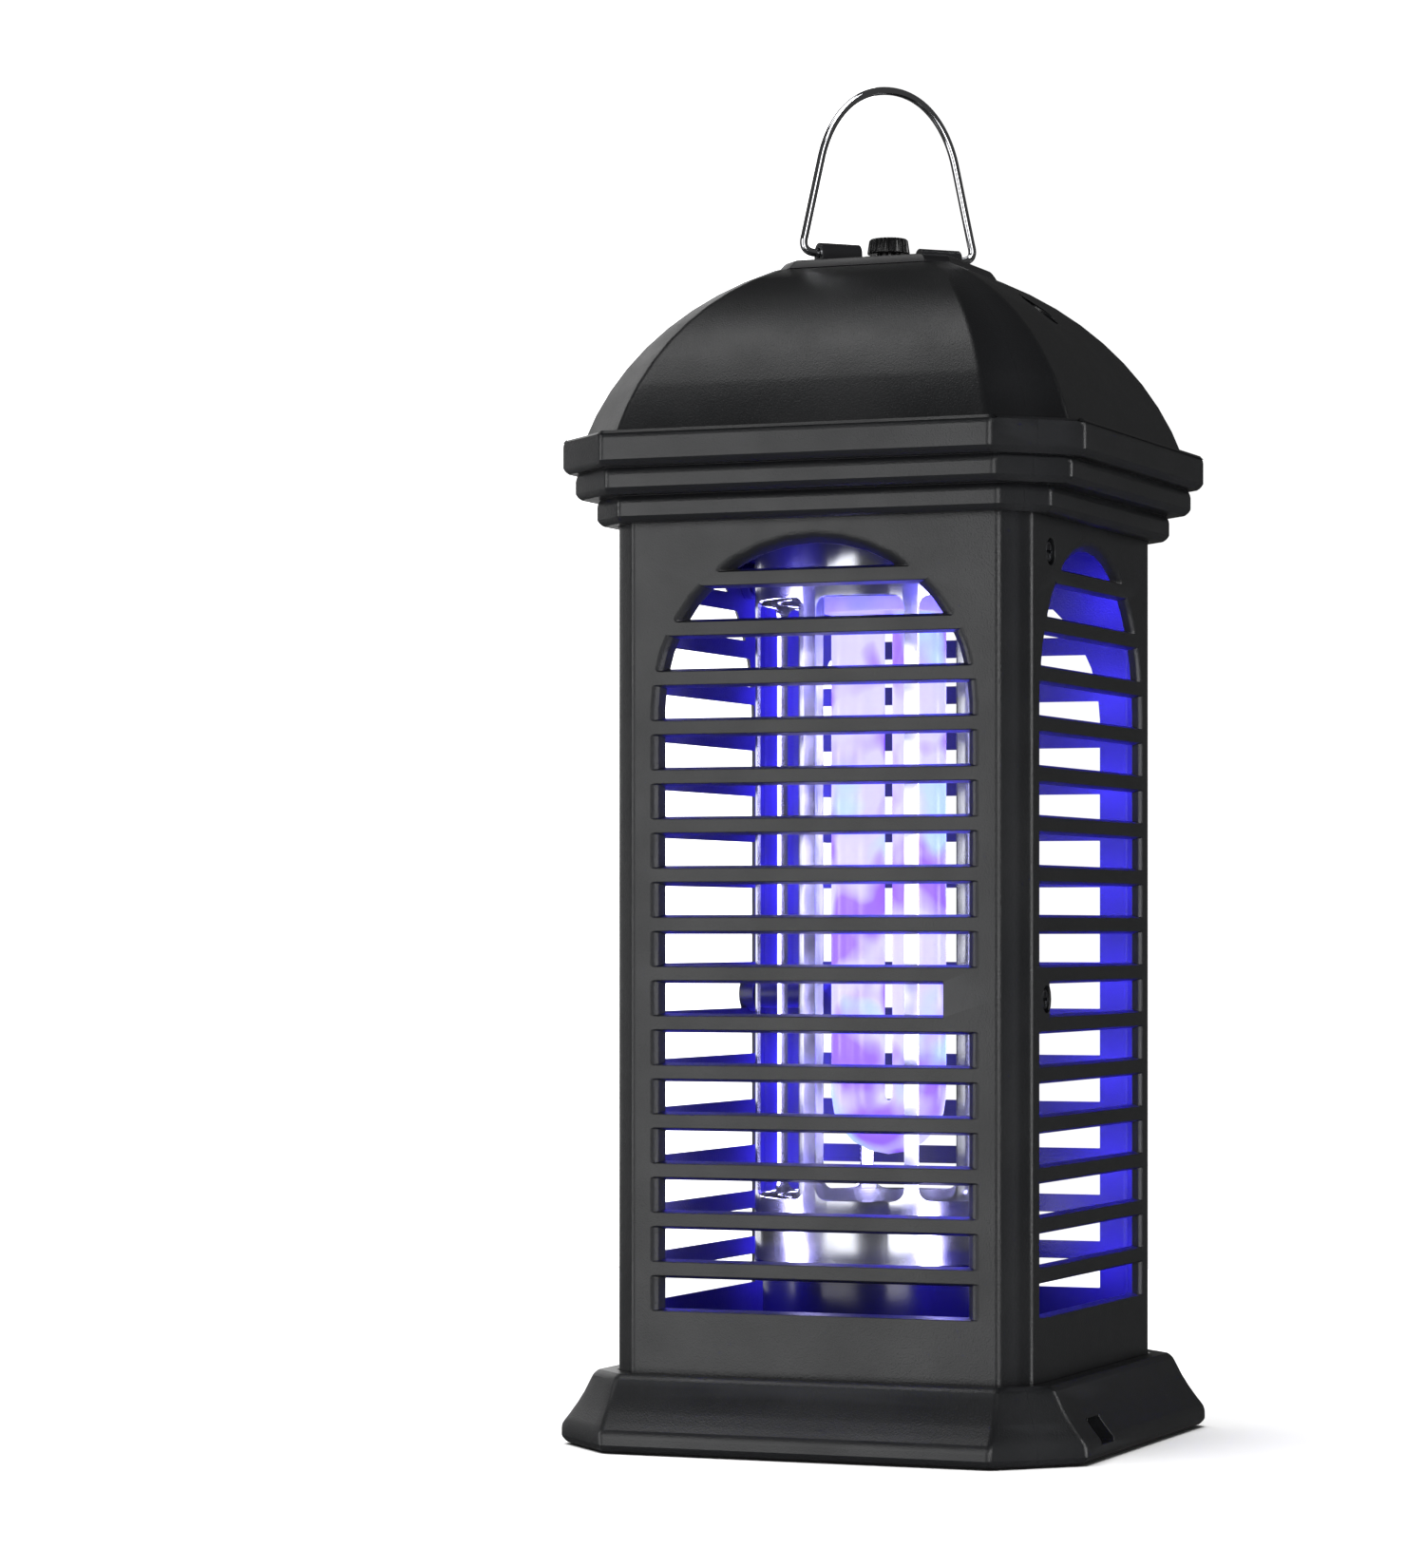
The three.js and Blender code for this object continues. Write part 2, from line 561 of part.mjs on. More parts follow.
// The boss that takes the other half's base screw, on a web from the rear skirt.
function baseBoss() {
  const mouth = -(POCKET_SEAT - POCKET_BLOCK - CLEARANCE);
  const end = mouth + 11;
  const webReach = COLLAR_HALF + SKIRT_FLARE * 0.5 - BASE_WALL + 0.5;
  return without(
    union(
      rodX(mouth, end, SCREW_SIDE, BASE_BOSS_LEVEL, BASE_BOSS_RADIUS, 16),
      block(
        [mouth + 5, SCREW_SIDE, BASE_BOSS_LEVEL - WEB / 2],
        [end, webReach, BASE_BOSS_LEVEL + WEB / 2],
      ),
    ),
    rodX(mouth - 1, end - WEB, SCREW_SIDE, BASE_BOSS_LEVEL, SMALL_RADIUS + CLEARANCE, 12),
  );
}

// ---------------------------------------------------------------- roof
const DOME_CENTRE = domeCentre();

// Centre of the dome's arc in the (half width, height above the cornice) plane.
function domeCentre() {
  const a = [DOME_BASE_HALF, 0];
  const b = [DOME_TOP_HALF, DOME_RISE];
  const chord = Math.hypot(a[0] - b[0], a[1] - b[1]);
  const sag = Math.sqrt(DOME_RADIUS ** 2 - (chord / 2) ** 2);
  const normal = [(a[1] - b[1]) / chord, (b[0] - a[0]) / chord];
  return [(a[0] + b[0]) / 2 + sag * normal[0], (a[1] + b[1]) / 2 + sag * normal[1]];
}

// The dome's half width at a height above the cornice, less a wall.
const domeHalf = (height, wall = 0) =>
  DOME_CENTRE[0] + Math.sqrt((DOME_RADIUS - wall) ** 2 - (height - DOME_CENTRE[1]) ** 2);

function domeLevel(height, wall = 0) {
  const half = domeHalf(height, wall);
  const share = (half - DOME_TOP_HALF) / (DOME_BASE_HALF - DOME_TOP_HALF);
  const chamfer = DOME_TOP_CHAMFER + (DOME_BASE_CHAMFER - DOME_TOP_CHAMFER) * Math.max(share, 0);
  return { half, chamfer, z: CORNICE_TOP + height };
}

function roofOutside() {
  const levels = [];
  let z = CORNICE_BOTTOM;
  for (const { step, height } of BANDS) {
    const half = COLUMN_HALF + step;
    const at = (recess, rise) => ({ half: half - recess, chamfer: chamferOf(half - recess), z: z + rise });
    levels.push(at(BAND_ROUND, 0), at(BAND_ROUND * 0.3, BAND_ROUND * 0.3), at(0, BAND_ROUND));
    levels.push(at(0, height - BAND_ROUND / 2), at(BAND_ROUND / 2, height));
    z += height;
  }
  for (let i = 0; i <= DOME_STEPS; i++) {
    const angle0 = Math.atan2(-DOME_CENTRE[1], DOME_BASE_HALF - DOME_CENTRE[0]);
    const angle1 = Math.atan2(DOME_RISE - DOME_CENTRE[1], DOME_TOP_HALF - DOME_CENTRE[0]);
    const angle = angle0 + ((angle1 - angle0) * i) / DOME_STEPS;
    levels.push(domeLevel(DOME_CENTRE[1] + DOME_RADIUS * Math.sin(angle)));
  }
  return octagon(levels);
}

const DECK_HALF = COLUMN_HALF + DECK_LIP;
const ROOF_OPENING = SPIGOT_HALF + CLEARANCE;

function roofInside() {
  const at = (half, z) => ({ half, chamfer: chamferOf(half), z });
  const socket = COLUMN_HALF + CLEARANCE;
  const seat = DECK_HALF + CLEARANCE;
  const shelf = COLUMN_HALF - 0.2;
  const room = COLUMN_HALF + BANDS[2].step - BAND_WALL;
  const seatTop = DECK_TOP + CLEARANCE;
  const openingHeight = DOME_CENTRE[1]
    + Math.sqrt((DOME_RADIUS - DOME_WALL) ** 2 - (ROOF_OPENING - DOME_CENTRE[0]) ** 2);
  const levels = [at(socket, CORNICE_BOTTOM - 1), at(socket, COLUMN_TOP)];
  levels.push(at(seat, COLUMN_TOP), at(seat, seatTop), at(shelf, seatTop), at(shelf, seatTop + 2));
  levels.push(at(room, seatTop + 5.5), at(room, CORNICE_TOP - 2));
  const steps = DOME_STEPS - 3;
  for (let i = 0; i <= steps; i++) {
    const angle = (Math.PI / 2) * (i / steps);
    levels.push(domeLevel(openingHeight * Math.sin(angle), DOME_WALL));
  }
  levels.push({ half: ROOF_OPENING, chamfer: DOME_TOP_CHAMFER, z: DOME_TOP + 1 });
  return octagon(levels);
}

function roofHalf() {
  const outside = roofOutside();
  const wellOuter = rod(
    ROOF_SCREW_REACH, 0, WELL_FLOOR - ROOF_WELL_FLOOR_THICKNESS, DOME_TOP,
    ROOF_WELL_RADIUS + ROOF_WELL_WALL,
  ).intersect(outside);
  const wellInner = rod(ROOF_SCREW_REACH, 0, WELL_FLOOR, DOME_TOP + 5, ROOF_WELL_RADIUS);
  const wellHole = rod(ROOF_SCREW_REACH, 0, WELL_FLOOR - 10, WELL_FLOOR + 1, SCREW_RADIUS + CLEARANCE);
  const half = without(outside, roofInside()).intersect(RIGHT_REAR);
  return without(half.add(wellOuter), wellInner, wellHole);
}

// The cord outlet's stepped hole in the top band, at the rear.
const GROMMET_LEVEL = CORNICE_TOP - BANDS[2].height / 2;
const BAND_FACE = COLUMN_HALF + BANDS[2].step;
function grommetSeat() {
  const bore = (y0, y1, radius) =>
    rodX(y0, y1, 0, GROMMET_LEVEL, radius).rotate([0, 0, 90]);
  const flange = GROMMET_FLANGE_THICKNESS + CLEARANCE;
  return [
    bore(BAND_FACE - BAND_WALL - 2, BAND_FACE + 1, GROMMET_RADIUS + CLEARANCE / 2),
    bore(BAND_FACE - flange, BAND_FACE + 1, GROMMET_FLANGE + CLEARANCE / 2),
  ];
}

function cordGrommet() {
  const outline = [
    [GROMMET_BORE, BAND_FACE - BAND_WALL - 1],
    [GROMMET_RADIUS - CLEARANCE / 2, BAND_FACE - BAND_WALL - 1],
    [GROMMET_RADIUS - CLEARANCE / 2, BAND_FACE - GROMMET_FLANGE_THICKNESS],
    [GROMMET_FLANGE - CLEARANCE / 2, BAND_FACE - GROMMET_FLANGE_THICKNESS],
    [GROMMET_FLANGE - CLEARANCE / 2, BAND_FACE - 0.1],
    [GROMMET_BORE, BAND_FACE - 0.1],
  ];
  return revolve(outline, 24).rotate([-90, 0, 0]).translate([0, 0, GROMMET_LEVEL]);
}

// ---------------------------------------------------------------- cap, bail and switch
// Everything on the bail's line is built along X and then turned onto the diagonal.
const onDiagonal = (piece) => piece.rotate([0, 0, 45]);

function topCap() {
  const plate = octagon([
    { half: CAP_HALF + CAP_FLARE, chamfer: CAP_CHAMFER, z: CAP_BOTTOM, round: 1 },
    { half: CAP_HALF + CAP_FLARE * 0.6, chamfer: CAP_CHAMFER, z: CAP_BOTTOM + 0.8, round: 1 },
    { half: CAP_HALF, chamfer: CAP_CHAMFER, z: CAP_TOP - 0.4, round: 1 },
    { half: CAP_HALF - 0.4, chamfer: CAP_CHAMFER, z: CAP_TOP, round: 1 },
  ]);
  const spigot = octagonPrism(SPIGOT_HALF, DOME_TOP_CHAMFER, CAP_BOTTOM - SPIGOT_DEPTH, CAP_BOTTOM + 1);
  const lugs = [0, 180].map((angle) => bailLug().rotate([0, 0, angle]));
  const body = union(plate, spigot, ...lugs.map(onDiagonal));
  const stemHole = stemBore(CAP_BOTTOM - SPIGOT_DEPTH - 1, CAP_TOP + 1);
  return without(body, stemHole);
}

// A barrel-topped lug along +X with the hole for the wire.
function bailLug() {
  const end = LUG_START + LUG_LENGTH;
  const barrel = rodX(LUG_START, end, 0, WIRE_LEVEL, LUG_WIDTH / 2, 20);
  const foot = block([LUG_START, -LUG_WIDTH / 2, CAP_TOP - 0.5], [end, LUG_WIDTH / 2, WIRE_LEVEL]);
  const hole = rodX(LUG_START - 1, end + 1, 0, WIRE_LEVEL, WIRE_RADIUS + WIRE_CLEARANCE, 16);
  return without(union(barrel, foot), hole);
}

// The bail's centre line in the plane of the diagonal, from one lug over the crown to the other.
function bailRoute() {
  const footEnd = LUG_START + 1.2;
  const archFoot = BAIL_HEIGHT - BAIL_ARCH_RADIUS;
  const archHalf = BAIL_HALF_WIDTH - BAIL_LEAN;
  const lean = BAIL_LEAN / archFoot;
  const side = (sign) => {
    const at = (s, z) => new THREE.Vector3(sign * s, 0, WIRE_LEVEL + z);
    return [
      [at(footEnd, 0), at(BAIL_HALF_WIDTH - BAIL_BEND, 0)],
      [
        at(BAIL_HALF_WIDTH - BAIL_BEND, 0), at(BAIL_HALF_WIDTH - 0.3 * BAIL_BEND, 0),
        at(BAIL_HALF_WIDTH, 0.3 * BAIL_BEND), at(BAIL_HALF_WIDTH - BAIL_BEND * lean, BAIL_BEND),
      ],
      [at(BAIL_HALF_WIDTH - BAIL_BEND * lean, BAIL_BEND), at(archHalf, archFoot)],
      [
        at(archHalf, archFoot), at(archHalf - 9.0 * lean, archFoot + 9.0),
        at(archHalf * 0.56, BAIL_HEIGHT), at(0, BAIL_HEIGHT),
      ],
    ];
  };
  const [foot, knee, leg, arch] = side(1);
  const back = side(-1).reverse().map((points) => points.reverse());
  return new Route([
    line(...foot), bend(5, ...knee), line(...leg), bend(9, ...arch),
    bend(9, ...back[0]), line(...back[1]), bend(5, ...back[2]), line(...back[3]),
  ]);
}

// A line made of curves end to end, each divided into its own number of steps.
class Route extends THREE.Curve {
  constructor(stretches) {
    super();
    this.stretches = stretches;
    this.steps = stretches.reduce((sum, { steps }) => sum + steps, 0);
  }

  getPoint(t, target) {
    let step = t * this.steps;
    for (const { curve, steps } of this.stretches) {
      if (step <= steps + 1e-6) return curve.getPoint(Math.min(step / steps, 1), target);
      step -= steps;
    }
    return this.stretches.at(-1).curve.getPoint(1, target);
  }

  getUtoTmapping(u) {
    return u;
  }
}

const line = (from, to) => ({ curve: new THREE.LineCurve3(from, to), steps: 1 });
const bend = (steps, ...points) => ({ curve: new THREE.CubicBezierCurve3(...points), steps });

// A round section swept along a route.
function sweep(route, radius, sides) {
  const section = new THREE.Shape(
    Array.from({ length: sides }, (_, i) => {
      const angle = (2 * Math.PI * i) / sides;
      return new THREE.Vector2(radius * Math.cos(angle), radius * Math.sin(angle));
    }),
  );
  const settings = { extrudePath: route, steps: route.steps, curveSegments: 1 };
  return solid(new THREE.ExtrudeGeometry(section, settings));
}

const bail = () => onDiagonal(sweep(bailRoute(), WIRE_RADIUS, BAIL_SIDES));

// A ribbed, slightly tapering disc on a stem that goes down into the switch.
function switchKnob() {
  const bottom = CAP_TOP + KNOB_LIFT;
  const ringAt = (radius, z) =>
    Array.from({ length: 2 * KNOB_RIBS }, (_, i) => {
      const angle = (Math.PI * i) / KNOB_RIBS;
      const r = radius - (i % 2) * 0.22;
      return [r * Math.cos(angle), r * Math.sin(angle), z];
    });
  const disc = loft([
    ringAt(KNOB_RADIUS - 0.3, bottom),
    ringAt(KNOB_RADIUS, bottom + 0.3),
    ringAt(KNOB_TOP_RADIUS, bottom + KNOB_HEIGHT - 0.4),
    ringAt(KNOB_TOP_RADIUS - 0.4, bottom + KNOB_HEIGHT),
  ]);
  return union(disc, rod(0, 0, SWITCH_TOP - STEM_DEPTH, bottom + 1, STEM_RADIUS, undefined, 24));
}

function switchBody() {
  const s = SWITCH_SIZE / 2;
  const box = block([-s, -s, SWITCH_TOP - SWITCH_HEIGHT], [s, s, SWITCH_TOP]);
  const bottom = SWITCH_TOP - SWITCH_HEIGHT;
  const tabs = [-4, 4].map((x) =>
    block([x - 1.2, -s + 1, bottom - 3.5], [x + 1.2, -s + 1.8, bottom + 0.5]),
  );
  return without(union(box, ...tabs), stemBore(SWITCH_TOP - STEM_DEPTH - CLEARANCE, SWITCH_TOP + 1));
}

const stemBore = (z0, z1) => rod(0, 0, z0, z1, STEM_RADIUS + CLEARANCE, undefined, 24);

// ---------------------------------------------------------------- electrode cage
// A sheet rolled into a tube and pierced by evenly spaced windows.
function electrode(radius, windows, strip, firstStripAngle, corner) {
  const tube = revolve(
    [[radius - SHEET, GRID_BOTTOM], [radius, GRID_BOTTOM], [radius, GRID_TOP], [radius - SHEET, GRID_TOP]],
    GRID_SEGMENTS,
  );
  const pitch = (2 * Math.PI) / windows;
  const halfWidth = radius * Math.sin(pitch / 2) - strip / 2;
  const outline = windowOutline(halfWidth, GRID_WINDOW_BOTTOM, GRID_WINDOW_TOP, corner);
  const settings = { depth: radius, bevelEnabled: false, curveSegments: 2 };
  const geometry = new THREE.ExtrudeGeometry(outline, settings);
  geometry.rotateX(Math.PI / 2); // the window's height along Z, its depth along -Y
  const cut = solid(geometry).translate([0, -radius * 0.3, 0]);
  const cuts = Array.from({ length: windows }, (_, i) =>
    cut.rotate([0, 0, firstStripAngle + (360 / windows) * (i + 0.5)]),
  );
  return without(tube, ...cuts);
}

// An upright rectangle with rounded corners.
function windowOutline(half, bottom, top, corner) {
  const shape = new THREE.Shape();
  const r = Math.max(corner, 0.01);
  shape.moveTo(-half + r, bottom).lineTo(half - r, bottom);
  shape.absarc(half - r, bottom + r, r, -Math.PI / 2, 0, false);
  shape.lineTo(half, top - r).absarc(half - r, top - r, r, 0, Math.PI / 2, false);
  shape.lineTo(-half + r, top).absarc(-half + r, top - r, r, Math.PI / 2, Math.PI, false);
  shape.lineTo(-half, bottom + r).absarc(-half + r, bottom + r, r, Math.PI, 1.5 * Math.PI, false);
  return shape;
}

const outerElectrode = () =>
  electrode(GRID_RADIUS, GRID_WINDOWS, GRID_STRIP, GRID_STRIP_ANGLE, GRID_CORNER);
const innerElectrode = () =>
  electrode(INNER_GRID_RADIUS, INNER_WINDOWS, INNER_STRIP, INNER_STRIP_ANGLE, GRID_CORNER);

// The dark tube that carries the cage and drops the insects into the tray.
function chute() {
  const inner = CHUTE_RADIUS - CHUTE_WALL;
  const lip = CHUTE_RADIUS + CHUTE_FLARE;
  return revolve([
    [inner, CHUTE_BOTTOM], [lip, CHUTE_BOTTOM], [lip, CHUTE_BOTTOM + 1.5], [CHUTE_RADIUS, CHUTE_BOTTOM + 1.5],
    [CHUTE_RADIUS, CHUTE_TOP - 3], [lip, CHUTE_TOP - 1.4], [lip, CHUTE_TOP],
    [GRID_RADIUS - SHEET - 0.7, CHUTE_TOP], [inner, CHUTE_TOP - 3],
  ]);
}

// The ring under the inner electrode, held in the chute by four spokes.
function lowerSpider() {
  const outer = INNER_GRID_RADIUS + 0.4;
  const z1 = CHUTE_TOP;
  const z0 = z1 - SPIDER_THICKNESS;
  const ring = revolve([[SPIDER_BORE, z0], [outer, z0], [outer, z1], [SPIDER_BORE, z1]]);
  const reach = CHUTE_RADIUS - CHUTE_WALL - CLEARANCE;
  const spokes = [45, 135, 225, 315].map((angle) =>
    block([outer - 1, -1.2, z0 - 2], [reach, 1.2, z1 - 2.6]).rotate([0, 0, angle]),
  );
  const struts = [45, 135, 225, 315].map((angle) =>
    block([SPIDER_BORE + 0.5, -1.2, z0 - 2], [outer, 1.2, z0 + 0.5]).rotate([0, 0, angle]),
  );
  return union(ring, ...spokes, ...struts);
}

// The insulating ring under the deck that spaces both electrodes' top edges.
function upperInsulator() {
  const top = INSULATOR_BOTTOM + INSULATOR_THICKNESS;
  const lipOuter = GRID_RADIUS - SHEET - CLEARANCE;
  const lipInner = INNER_GRID_RADIUS + CLEARANCE;
  const flange = GRID_RADIUS + 2;
  const lipEnd = INSULATOR_BOTTOM - INSULATOR_LIP;
  const ring = revolve([
    [INSULATOR_BORE, INSULATOR_BOTTOM], [lipInner, INSULATOR_BOTTOM], [lipInner, lipEnd], [lipOuter, lipEnd],
    [lipOuter, INSULATOR_BOTTOM], [flange, INSULATOR_BOTTOM], [flange, top], [INSULATOR_BORE, top],
  ]);
  return without(ring, ...leadHoles());
}

// ---------------------------------------------------------------- lamp
const LAMP_BASE_TOP = INSULATOR_BOTTOM - CLEARANCE;
const LAMP_BASE_BOTTOM = LAMP_BASE_TOP - LAMP_BASE_HEIGHT;

function lampHolder() {
  const bottom = LAMP_BASE_TOP + CLEARANCE;
  const rise = DECK_TOP + CLEARANCE;
  const body = revolve([
    [0, bottom], [HOLDER_NECK_RADIUS, bottom], [HOLDER_NECK_RADIUS, rise], [HOLDER_RADIUS, rise],
    [HOLDER_RADIUS, rise + HOLDER_HEIGHT], [0, rise + HOLDER_HEIGHT],
  ], 32);
  return without(
    body,
    rod(0, 0, bottom - 1, bottom + LAMP_PLUG_HEIGHT + CLEARANCE, LAMP_PLUG_RADIUS + CLEARANCE),
  );
}

function lampBase() {
  return union(
    rod(0, 0, LAMP_BASE_BOTTOM, LAMP_BASE_TOP, LAMP_BASE_RADIUS, undefined, 32),
    rod(0, 0, LAMP_BASE_TOP - 1, LAMP_BASE_TOP + LAMP_PLUG_HEIGHT, LAMP_PLUG_RADIUS),
  );
}

// A U-shaped tube, in a plane parallel to the front wall.
function lampTube() {
  const s = LAMP_PITCH / 2;
  const top = LAMP_BASE_BOTTOM - CLEARANCE;
  const bendLevel = GRID_BOTTOM + LAMP_END_GAP;
  const at = (x, z) => new THREE.Vector3(x, 0, z);
  const k = 0.5523 * s; // handle length of a quarter circle
  const route = new Route([
    line(at(-s, top), at(-s, bendLevel)),
    bend(5, at(-s, bendLevel), at(-s, bendLevel - k), at(-k, bendLevel - s), at(0, bendLevel - s)),
    bend(5, at(0, bendLevel - s), at(k, bendLevel - s), at(s, bendLevel - k), at(s, bendLevel)),
    line(at(s, bendLevel), at(s, top)),
  ]);
  return sweep(route, LAMP_TUBE_RADIUS, LAMP_SIDES);
}

// ---------------------------------------------------------------- floor, deck, plate, tray, feet
function columnFloor() {
  const section = inset(COLUMN_SECTION, WALL + CLEARANCE);
  const plate = octagonPrism(section.half, section.chamfer, FLOOR_BOTTOM, FLOOR_TOP);
  return without(plate, rod(0, 0, FLOOR_BOTTOM - 1, FLOOR_TOP + 1, FLOOR_BORE, undefined, 48));
}

const BOARD_POSTS = [[1, 1], [-1, 1], [-1, -1], [1, -1]].map(([sx, sy]) => [
  sx * (BOARD_LENGTH / 2 - POST_RADIUS - 1), sy * (BOARD_WIDTH / 2 - POST_RADIUS - 1),
]);

// A post under a corner of the board, its pin melted over on top to hold the board down.
function boardPost(x, y) {
  return union(
    rod(x, y, DECK_TOP - 1, BOARD_BOTTOM - CLEARANCE, POST_RADIUS),
    rod(x, y, BOARD_BOTTOM - 1, BOARD_TOP + 1, STAKE_RADIUS, undefined, 12),
    rod(x, y, BOARD_TOP + CLEARANCE, BOARD_TOP + 1.3, STAKE_RADIUS + 1.1, STAKE_RADIUS + 0.5, 12),
  );
}

// The partition over the cage. It carries the board and takes the roof's screws.
function upperDeck() {
  const plate = octagonPrism(DECK_HALF, chamferOf(DECK_HALF), DECK_BOTTOM, DECK_TOP);
  const boardPosts = BOARD_POSTS.map(([x, y]) => boardPost(x, y));
  const postTop = WELL_FLOOR - ROOF_WELL_FLOOR_THICKNESS - CLEARANCE;
  const roofPosts = [-1, 1].map((side) =>
    rod(side * ROOF_SCREW_REACH, 0, DECK_TOP - 1, postTop, 5, 4),
  );
  const pilots = [-1, 1].map((side) =>
    rod(side * ROOF_SCREW_REACH, 0, postTop - 14, postTop + 1, SCREW_RADIUS + CLEARANCE),
  );
  const bore = rod(0, 0, DECK_BOTTOM - 1, DECK_TOP + 1, HOLDER_NECK_RADIUS + CLEARANCE, undefined, 32);
  return without(union(plate, ...boardPosts, ...roofPosts), ...pilots, bore, ...leadHoles());
}

function basePlate() {
  const plate = octagonPrism(PLATE_HALF, chamferOf(PLATE_HALF), PLATE_LIFT, PLATE_TOP);
  const bore = rod(0, 0, 0, PLATE_TOP + 1, TRAY_RADIUS + TRAY_CLEARANCE, undefined, 56);
  const seats = footPlaces().map(([x, y]) => rod(x, y, 0, FOOT_HEIGHT + CLEARANCE, FOOT_RADIUS + CLEARANCE));
  const heads = plateScrewPlaces().map(([x, y]) =>
    rod(x, y, 0, PLATE_LIFT + SMALL_HEAD + CLEARANCE, SMALL_HEAD_RADIUS + CLEARANCE),
  );
  const holes = plateScrewPlaces().map(([x, y]) =>
    rod(x, y, 0, PLATE_TOP + 1, SMALL_RADIUS + CLEARANCE, undefined, 12),
  );
  const notch = block(
    [TRAY_RADIUS - 8, NOTCH_START, 0], [NOTCH_REACH, NOTCH_START + NOTCH_WIDTH, PLATE_TOP + 1],
  );
  return without(plate, bore, ...seats, ...heads, ...holes, notch, turned(notch, 2));
}

const footPlaces = () =>
  [[1, -1], [1, 1], [-1, 1], [-1, -1]].map((signs) => signs.map((s) => s * FOOT_REACH));
const plateScrewPlaces = () =>
  [[1, 0], [0, 1], [-1, 0], [0, -1]].map((signs) => signs.map((s) => s * PLATE_SCREW_REACH));

// A round dish pushed into the base plate's opening.
function insectTray() {
  const bottom = PLATE_LIFT;
  const top = bottom + TRAY_HEIGHT;
  const inner = TRAY_RADIUS - TRAY_WALL;
  return revolve([
    [0, bottom], [TRAY_RADIUS - 0.6, bottom], [TRAY_RADIUS, bottom + 0.6], [TRAY_RADIUS, top],
    [inner, top], [inner, bottom + TRAY_WALL], [0, bottom + TRAY_WALL],
  ], 56);
}

const foot = (x, y) => rod(x, y, 0, FOOT_HEIGHT, FOOT_RADIUS - 0.3, FOOT_RADIUS, 24);

// ---------------------------------------------------------------- screws
// A pan-head screw with a cross recess, head up at z = 0 seat, shank down.
function screw(headRadius, head, radius, length) {
  const body = union(
    rod(0, 0, 0, head, headRadius, headRadius - 0.5),
    rod(0, 0, -length, 0.5, radius, undefined, 12),
  );
  const reach = headRadius * 0.62;
  const d = DRIVE_WIDTH / 2;
  const cross = union(
    block([-reach, -d, head * 0.45], [reach, d, head + 1]),
    block([-d, -reach, head * 0.45], [d, reach, head + 1]),
  );
  return without(body, cross);
}

const seamScrew = (side, z) =>
  screw(SCREW_HEAD_RADIUS, SCREW_HEAD, SCREW_RADIUS, 11.5)
    .rotate([0, 90, 0]).translate([SOCKET_SEAT + CLEARANCE, -side, z]);
const baseSeamScrew = () =>
  screw(SMALL_HEAD_RADIUS, SMALL_HEAD, SMALL_RADIUS, 10)
    .rotate([0, 90, 0]).translate([POCKET_SEAT + CLEARANCE, -SCREW_SIDE, BASE_BOSS_LEVEL]);
const roofScrew = (side) =>
  screw(SCREW_HEAD_RADIUS, SCREW_HEAD, SCREW_RADIUS, 15)
    .translate([side * ROOF_SCREW_REACH, 0, WELL_FLOOR + CLEARANCE]);
const plateScrew = ([x, y]) =>
  screw(SMALL_HEAD_RADIUS, SMALL_HEAD, SMALL_RADIUS, 5.4)
    .rotate([180, 0, 0]).translate([x, y, PLATE_LIFT + SMALL_HEAD]);

// ---------------------------------------------------------------- electronics
function circuitBoard() {
  const x = BOARD_LENGTH / 2;
  const y = BOARD_WIDTH / 2;
  const holes = BOARD_POSTS.map(([px, py]) =>
    rod(px, py, BOARD_BOTTOM - 1, BOARD_TOP + 1, STAKE_RADIUS + CLEARANCE, undefined, 12),
  );
  return without(block([-x, -y, BOARD_BOTTOM], [x, y, BOARD_TOP]), ...holes);
}

const ON_BOARD = BOARD_TOP + CLEARANCE;
// A ferrite frame with its winding bulging out of two sides.
function ballastChoke() {
  const core = block([-27, -17, ON_BOARD], [-7, 1, ON_BOARD + 15]);
  return union(core, block([-25.5, -19, ON_BOARD + 3], [-8.5, 3, ON_BOARD + 12]));
}
const smoothingCapacitor = () => rod(9, -17, ON_BOARD, ON_BOARD + 17, 6.2, undefined, 24);
const multiplierCapacitor = (index) => {
  const x = -16 + 13 * index;
  return block([x, 11, ON_BOARD], [x + 10, 15.5, ON_BOARD + 9]);
};
const lampStarter = () => block([14, -2, ON_BOARD], [26, 7, ON_BOARD + 8]);

// Leads from the board down to the electrodes' top edges, on the front and rear centre lines.
const LEADS = [
  { name: "outer_electrode_lead", side: -1, reach: GRID_RADIUS - SHEET / 2 },
  { name: "inner_electrode_lead", side: 1, reach: INNER_GRID_RADIUS - SHEET / 2 },
];
const leadHoles = () =>
  LEADS.map(({ side, reach }) =>
    rod(0, side * reach, GRID_TOP - 1, DECK_TOP + 1, LEAD_RADIUS + CLEARANCE, undefined, 12),
  );

function electrodeLead({ side, reach }) {
  const start = BOARD_WIDTH / 2 - 3;
  const middle = (DECK_TOP + BOARD_BOTTOM) / 2;
  const at = (y, z) => new THREE.Vector3(0, side * y, z);
  const route = new Route([
    line(at(reach, GRID_TOP + CLEARANCE), at(reach, DECK_TOP + 2)),
    bend(
      6, at(reach, DECK_TOP + 2), at(reach, middle + 2),
      at(start, middle), at(start, BOARD_BOTTOM - CLEARANCE),
    ),
  ]);
  return sweep(route, LEAD_RADIUS, 8);
}

function switchLead() {
  const bottom = SWITCH_TOP - SWITCH_HEIGHT - CLEARANCE;
  const route = new Route([
    bend(
      8, new THREE.Vector3(0, 3, bottom), new THREE.Vector3(0, 3, bottom - 9),
      new THREE.Vector3(26, -14, ON_BOARD + 12), new THREE.Vector3(26, -14, ON_BOARD),
    ),
  ]);
  return sweep(route, LEAD_RADIUS, 8);
}

// ---------------------------------------------------------------- assembly
const lantern = new THREE.Group();

